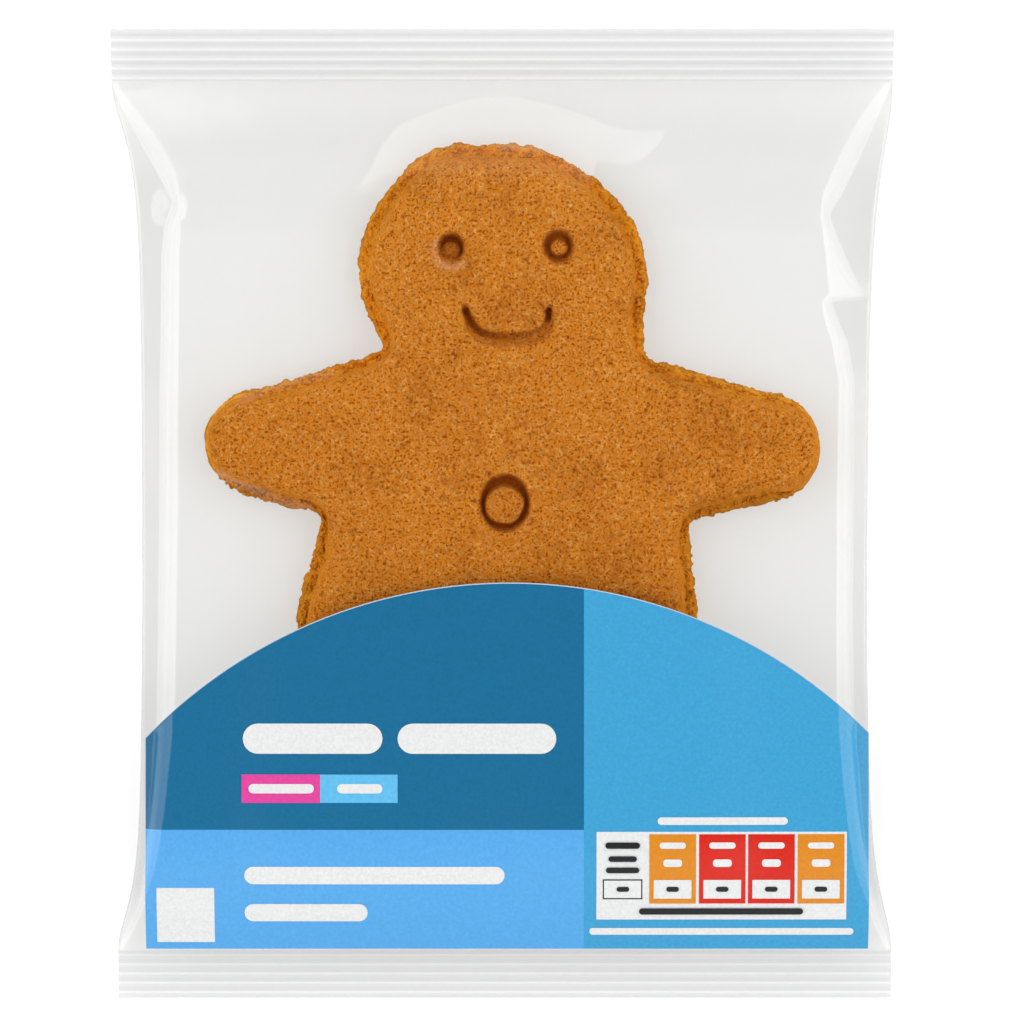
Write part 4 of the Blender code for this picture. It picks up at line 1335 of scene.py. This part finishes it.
def crust_material():
    """Baked gingerbread: squiggly golden grains on brown, dark pits and an oranger foot.

    The pits are darker partly by their own colour and partly by painted shade, and a stored value
    paints shade in the pressed marks and the crumb's dents and gives the loose crumbs a random tone.
    The foot has painted light on the arms' upper sides, where it is more golden, and painted shade on
    their lower sides, where it is browner.
    """
    material, tree = new_material("baked_gingerbread")
    place = add_node(tree, "TexCoord").outputs["Object"]
    across, along, up = add_node(tree, "SeparateXYZ", {0: place}).outputs
    level = maths(tree, "DIVIDE", maths(tree, "SUBTRACT", up, BISCUIT_BASE), BISCUIT_THICKNESS)

    coarse, fine = squiggles(tree, 0.95 * MM, 0.060, 0.0), squiggles(tree, 0.62 * MM, 0.085, 7.3)
    grains = maths(tree, "MAXIMUM", coarse, fine)
    grains = maths(tree, "MULTIPLY", grains, past(tree, noise_on(tree, 0.8 * MM, 1.0, 3.1), 0.36, 3.4))
    # Pores: small dents in the bump, darker partly by their own colour and partly by painted shade.
    pores = past(tree, noise_on(tree, 0.42 * MM, 1.5, 5.7), 0.48, -6.0)
    colour = mixed(tree, pores, CRUST_BODY, CRUST_SHADE)
    colour = mixed(tree, maths(tree, "MULTIPLY", grains, 0.85), colour, CRUST_GRAIN)
    colour = mixed(tree, 1.0, colour, ramp_on(tree, noise_on(tree, 6.0 * MM, 1.0), CRUST_PATCHES), "MULTIPLY")

    on_arms = past(tree, maths(tree, "ABSOLUTE", across), 20.0 * MM, 50.0)
    darker = maths(tree, "MAXIMUM", past(tree, along, 6.0 * MM, -60.0), maths(tree, "MULTIPLY", on_arms, 0.6))
    colour = mixed(tree, darker, colour, mixed(tree, 1.0, colour, CRUST_DARKER, "MULTIPLY"))

    # Painted light and shade on the arms' foot: more golden on their upper sides, browner below.
    foot = CRUST_FOOT
    for slope, foot_colour in ((130.0, CRUST_FOOT_LIT), (-130.0, CRUST_FOOT_SHADED)):
        part = maths(tree, "MULTIPLY", past(tree, along, ARM_MIDDLE, slope), on_arms)
        foot = mixed(tree, part, foot, foot_colour)
    for low, high, layer in ((0.46, 0.62, foot), (0.34, 0.42, CRUST_SIDE)):
        span = {"Value": level, "From Min": low, "From Max": high, "To Min": 0.7, "To Max": 0.0}
        colour = mixed(tree, add_node(tree, "MapRange", span).outputs[0], colour, layer)
    colour = mixed(tree, ramp_on(tree, level, CRUST_WALL_SHARES), colour, CRUST_WALL)

    # The stored value darkens towards the hollow colour: painted shade in the marks and pits, and a random
    # tone on the loose crumbs.
    hollow = maths(tree, "MULTIPLY", kept(tree, "hollow"), 0.75, clamp=True)
    colour = mixed(tree, hollow, colour, HOLLOW_SHADE_AND_CRUMB_TONE)
    relief = maths(tree, "SUBTRACT", grains, maths(tree, "MULTIPLY", pores, 1.2))
    to_output(tree, add_node(tree, "BsdfPrincipled", {
        "Base Color": colour,
        "Roughness": 0.8,
        "Specular IOR Level": 0.015,
        "Normal": bent_by(tree, relief, 0.8, 0.16 * MM),
    }))
    return material


def ink_material(name, colour):
    """Glossy printed film: a plain colour with a faint unevenness of the ink."""
    material, tree = new_material(name)
    stops = [(at, tuple(tone * part for part in colour)) for at, tone in ((0.3, 0.94), (0.7, 1.06))]
    to_output(tree, add_node(tree, "BsdfPrincipled", {
        "Base Color": ramp_on(tree, noise_on(tree, 0.5 * MM, 2.0), stops),
        "Roughness": 0.2,
        "Specular IOR Level": 0.5,
        "Normal": rippled(tree),
    }))
    return material


def table_material():
    """A pale table that glows a little, so that shadows on it stay soft."""
    material, tree = new_material("pale_table")
    to_output(tree, add_node(tree, "BsdfPrincipled", {
        "Base Color": (TABLE_WHITE,) * 3,
        "Roughness": 0.95,
        "Specular IOR Level": 0.1,
        "Emission Color": (1.0, 1.0, 1.0),
        "Emission Strength": TABLE_GLOW,
    }))
    return material


# ---- The studio ----


def make_table():
    """A square table top just below the pack."""
    half = TABLE_SIDE / 2
    corners = np.array([(-half, -half), (half, -half), (half, half), (-half, half)])
    points = np.column_stack((corners, np.full(4, TABLE_HEIGHT)))
    table = new_mesh_object("table", points, np.array([[0, 1, 2, 3]]), table_material())


def make_camera():
    """A camera straight above the pack, with the head at the top of the picture."""
    data = bpy.data.cameras.new("camera")
    data.lens = CAMERA_LENS
    data.sensor_width = 36.0
    camera = bpy.data.objects.new("camera", data)
    camera.location = (CAMERA_SHIFT_X, CAMERA_SHIFT_Y, CAMERA_HEIGHT)
    bpy.context.scene.collection.objects.link(camera)
    bpy.context.scene.camera = camera


def make_light():
    """An even pale studio: brightest to the left and right, and dark straight above the pack."""
    world = bpy.data.worlds.new("studio")
    world.use_nodes = True
    tree = world.node_tree
    place = add_node(tree, "TexCoord").outputs["Generated"]
    across, along, up = add_node(tree, "SeparateXYZ", {0: place}).outputs
    sideways = maths(tree, "MULTIPLY", maths(tree, "ABSOLUTE", across), STUDIO_SIDE_SPREAD, clamp=True)
    ahead = maths(tree, "ADD", maths(tree, "MULTIPLY", along, STUDIO_HEAD_SPREAD), 0.5, clamp=True)
    lengthways = mixed(tree, ahead, (STUDIO_AT_FEET,) * 3, ramp_on(tree, up, STUDIO_AT_HEAD))
    tone = mixed(tree, sideways, lengthways, (1.0, 1.0, 1.0))
    glow = mixed(tree, 1.0, ramp_on(tree, up, STUDIO_GLOW), tone, "MULTIPLY")
    background = tree.nodes["Background"]
    background.inputs["Strength"].default_value = STUDIO_STRENGTH
    tree.links.new(glow, background.inputs["Color"])
    bpy.context.scene.world = world


def main():
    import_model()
    make_camera()
    bpy.context.scene.view_settings.view_transform = "Standard"
    make_light()
    make_table()

    film = film_material("clear_film", *CLEAR_FILM)
    seal = film_material("crimped_film", *CRIMPED_FILM)
    for name, columns, height, upward in (
        ("film_front", FRONT_COLUMNS, front_height, True),
        ("film_back", BACK_COLUMNS, under_height, False),
    ):
        sheet = make_film(name, columns, height, upward, film, seal)
        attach(sheet, "root")
        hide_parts("bag")

    crust = crust_material()
    biscuit = make_biscuit(crust)
    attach(biscuit, "root")
    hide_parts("biscuit")
    crumbs = make_crumbs(crust)
    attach(crumbs, "root")

    inks = {name: ink_material(name, colour) for name, colour in INKS.items()}
    for piece in make_print(inks):
        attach(piece, "root")
        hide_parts("printed_panel")


main()
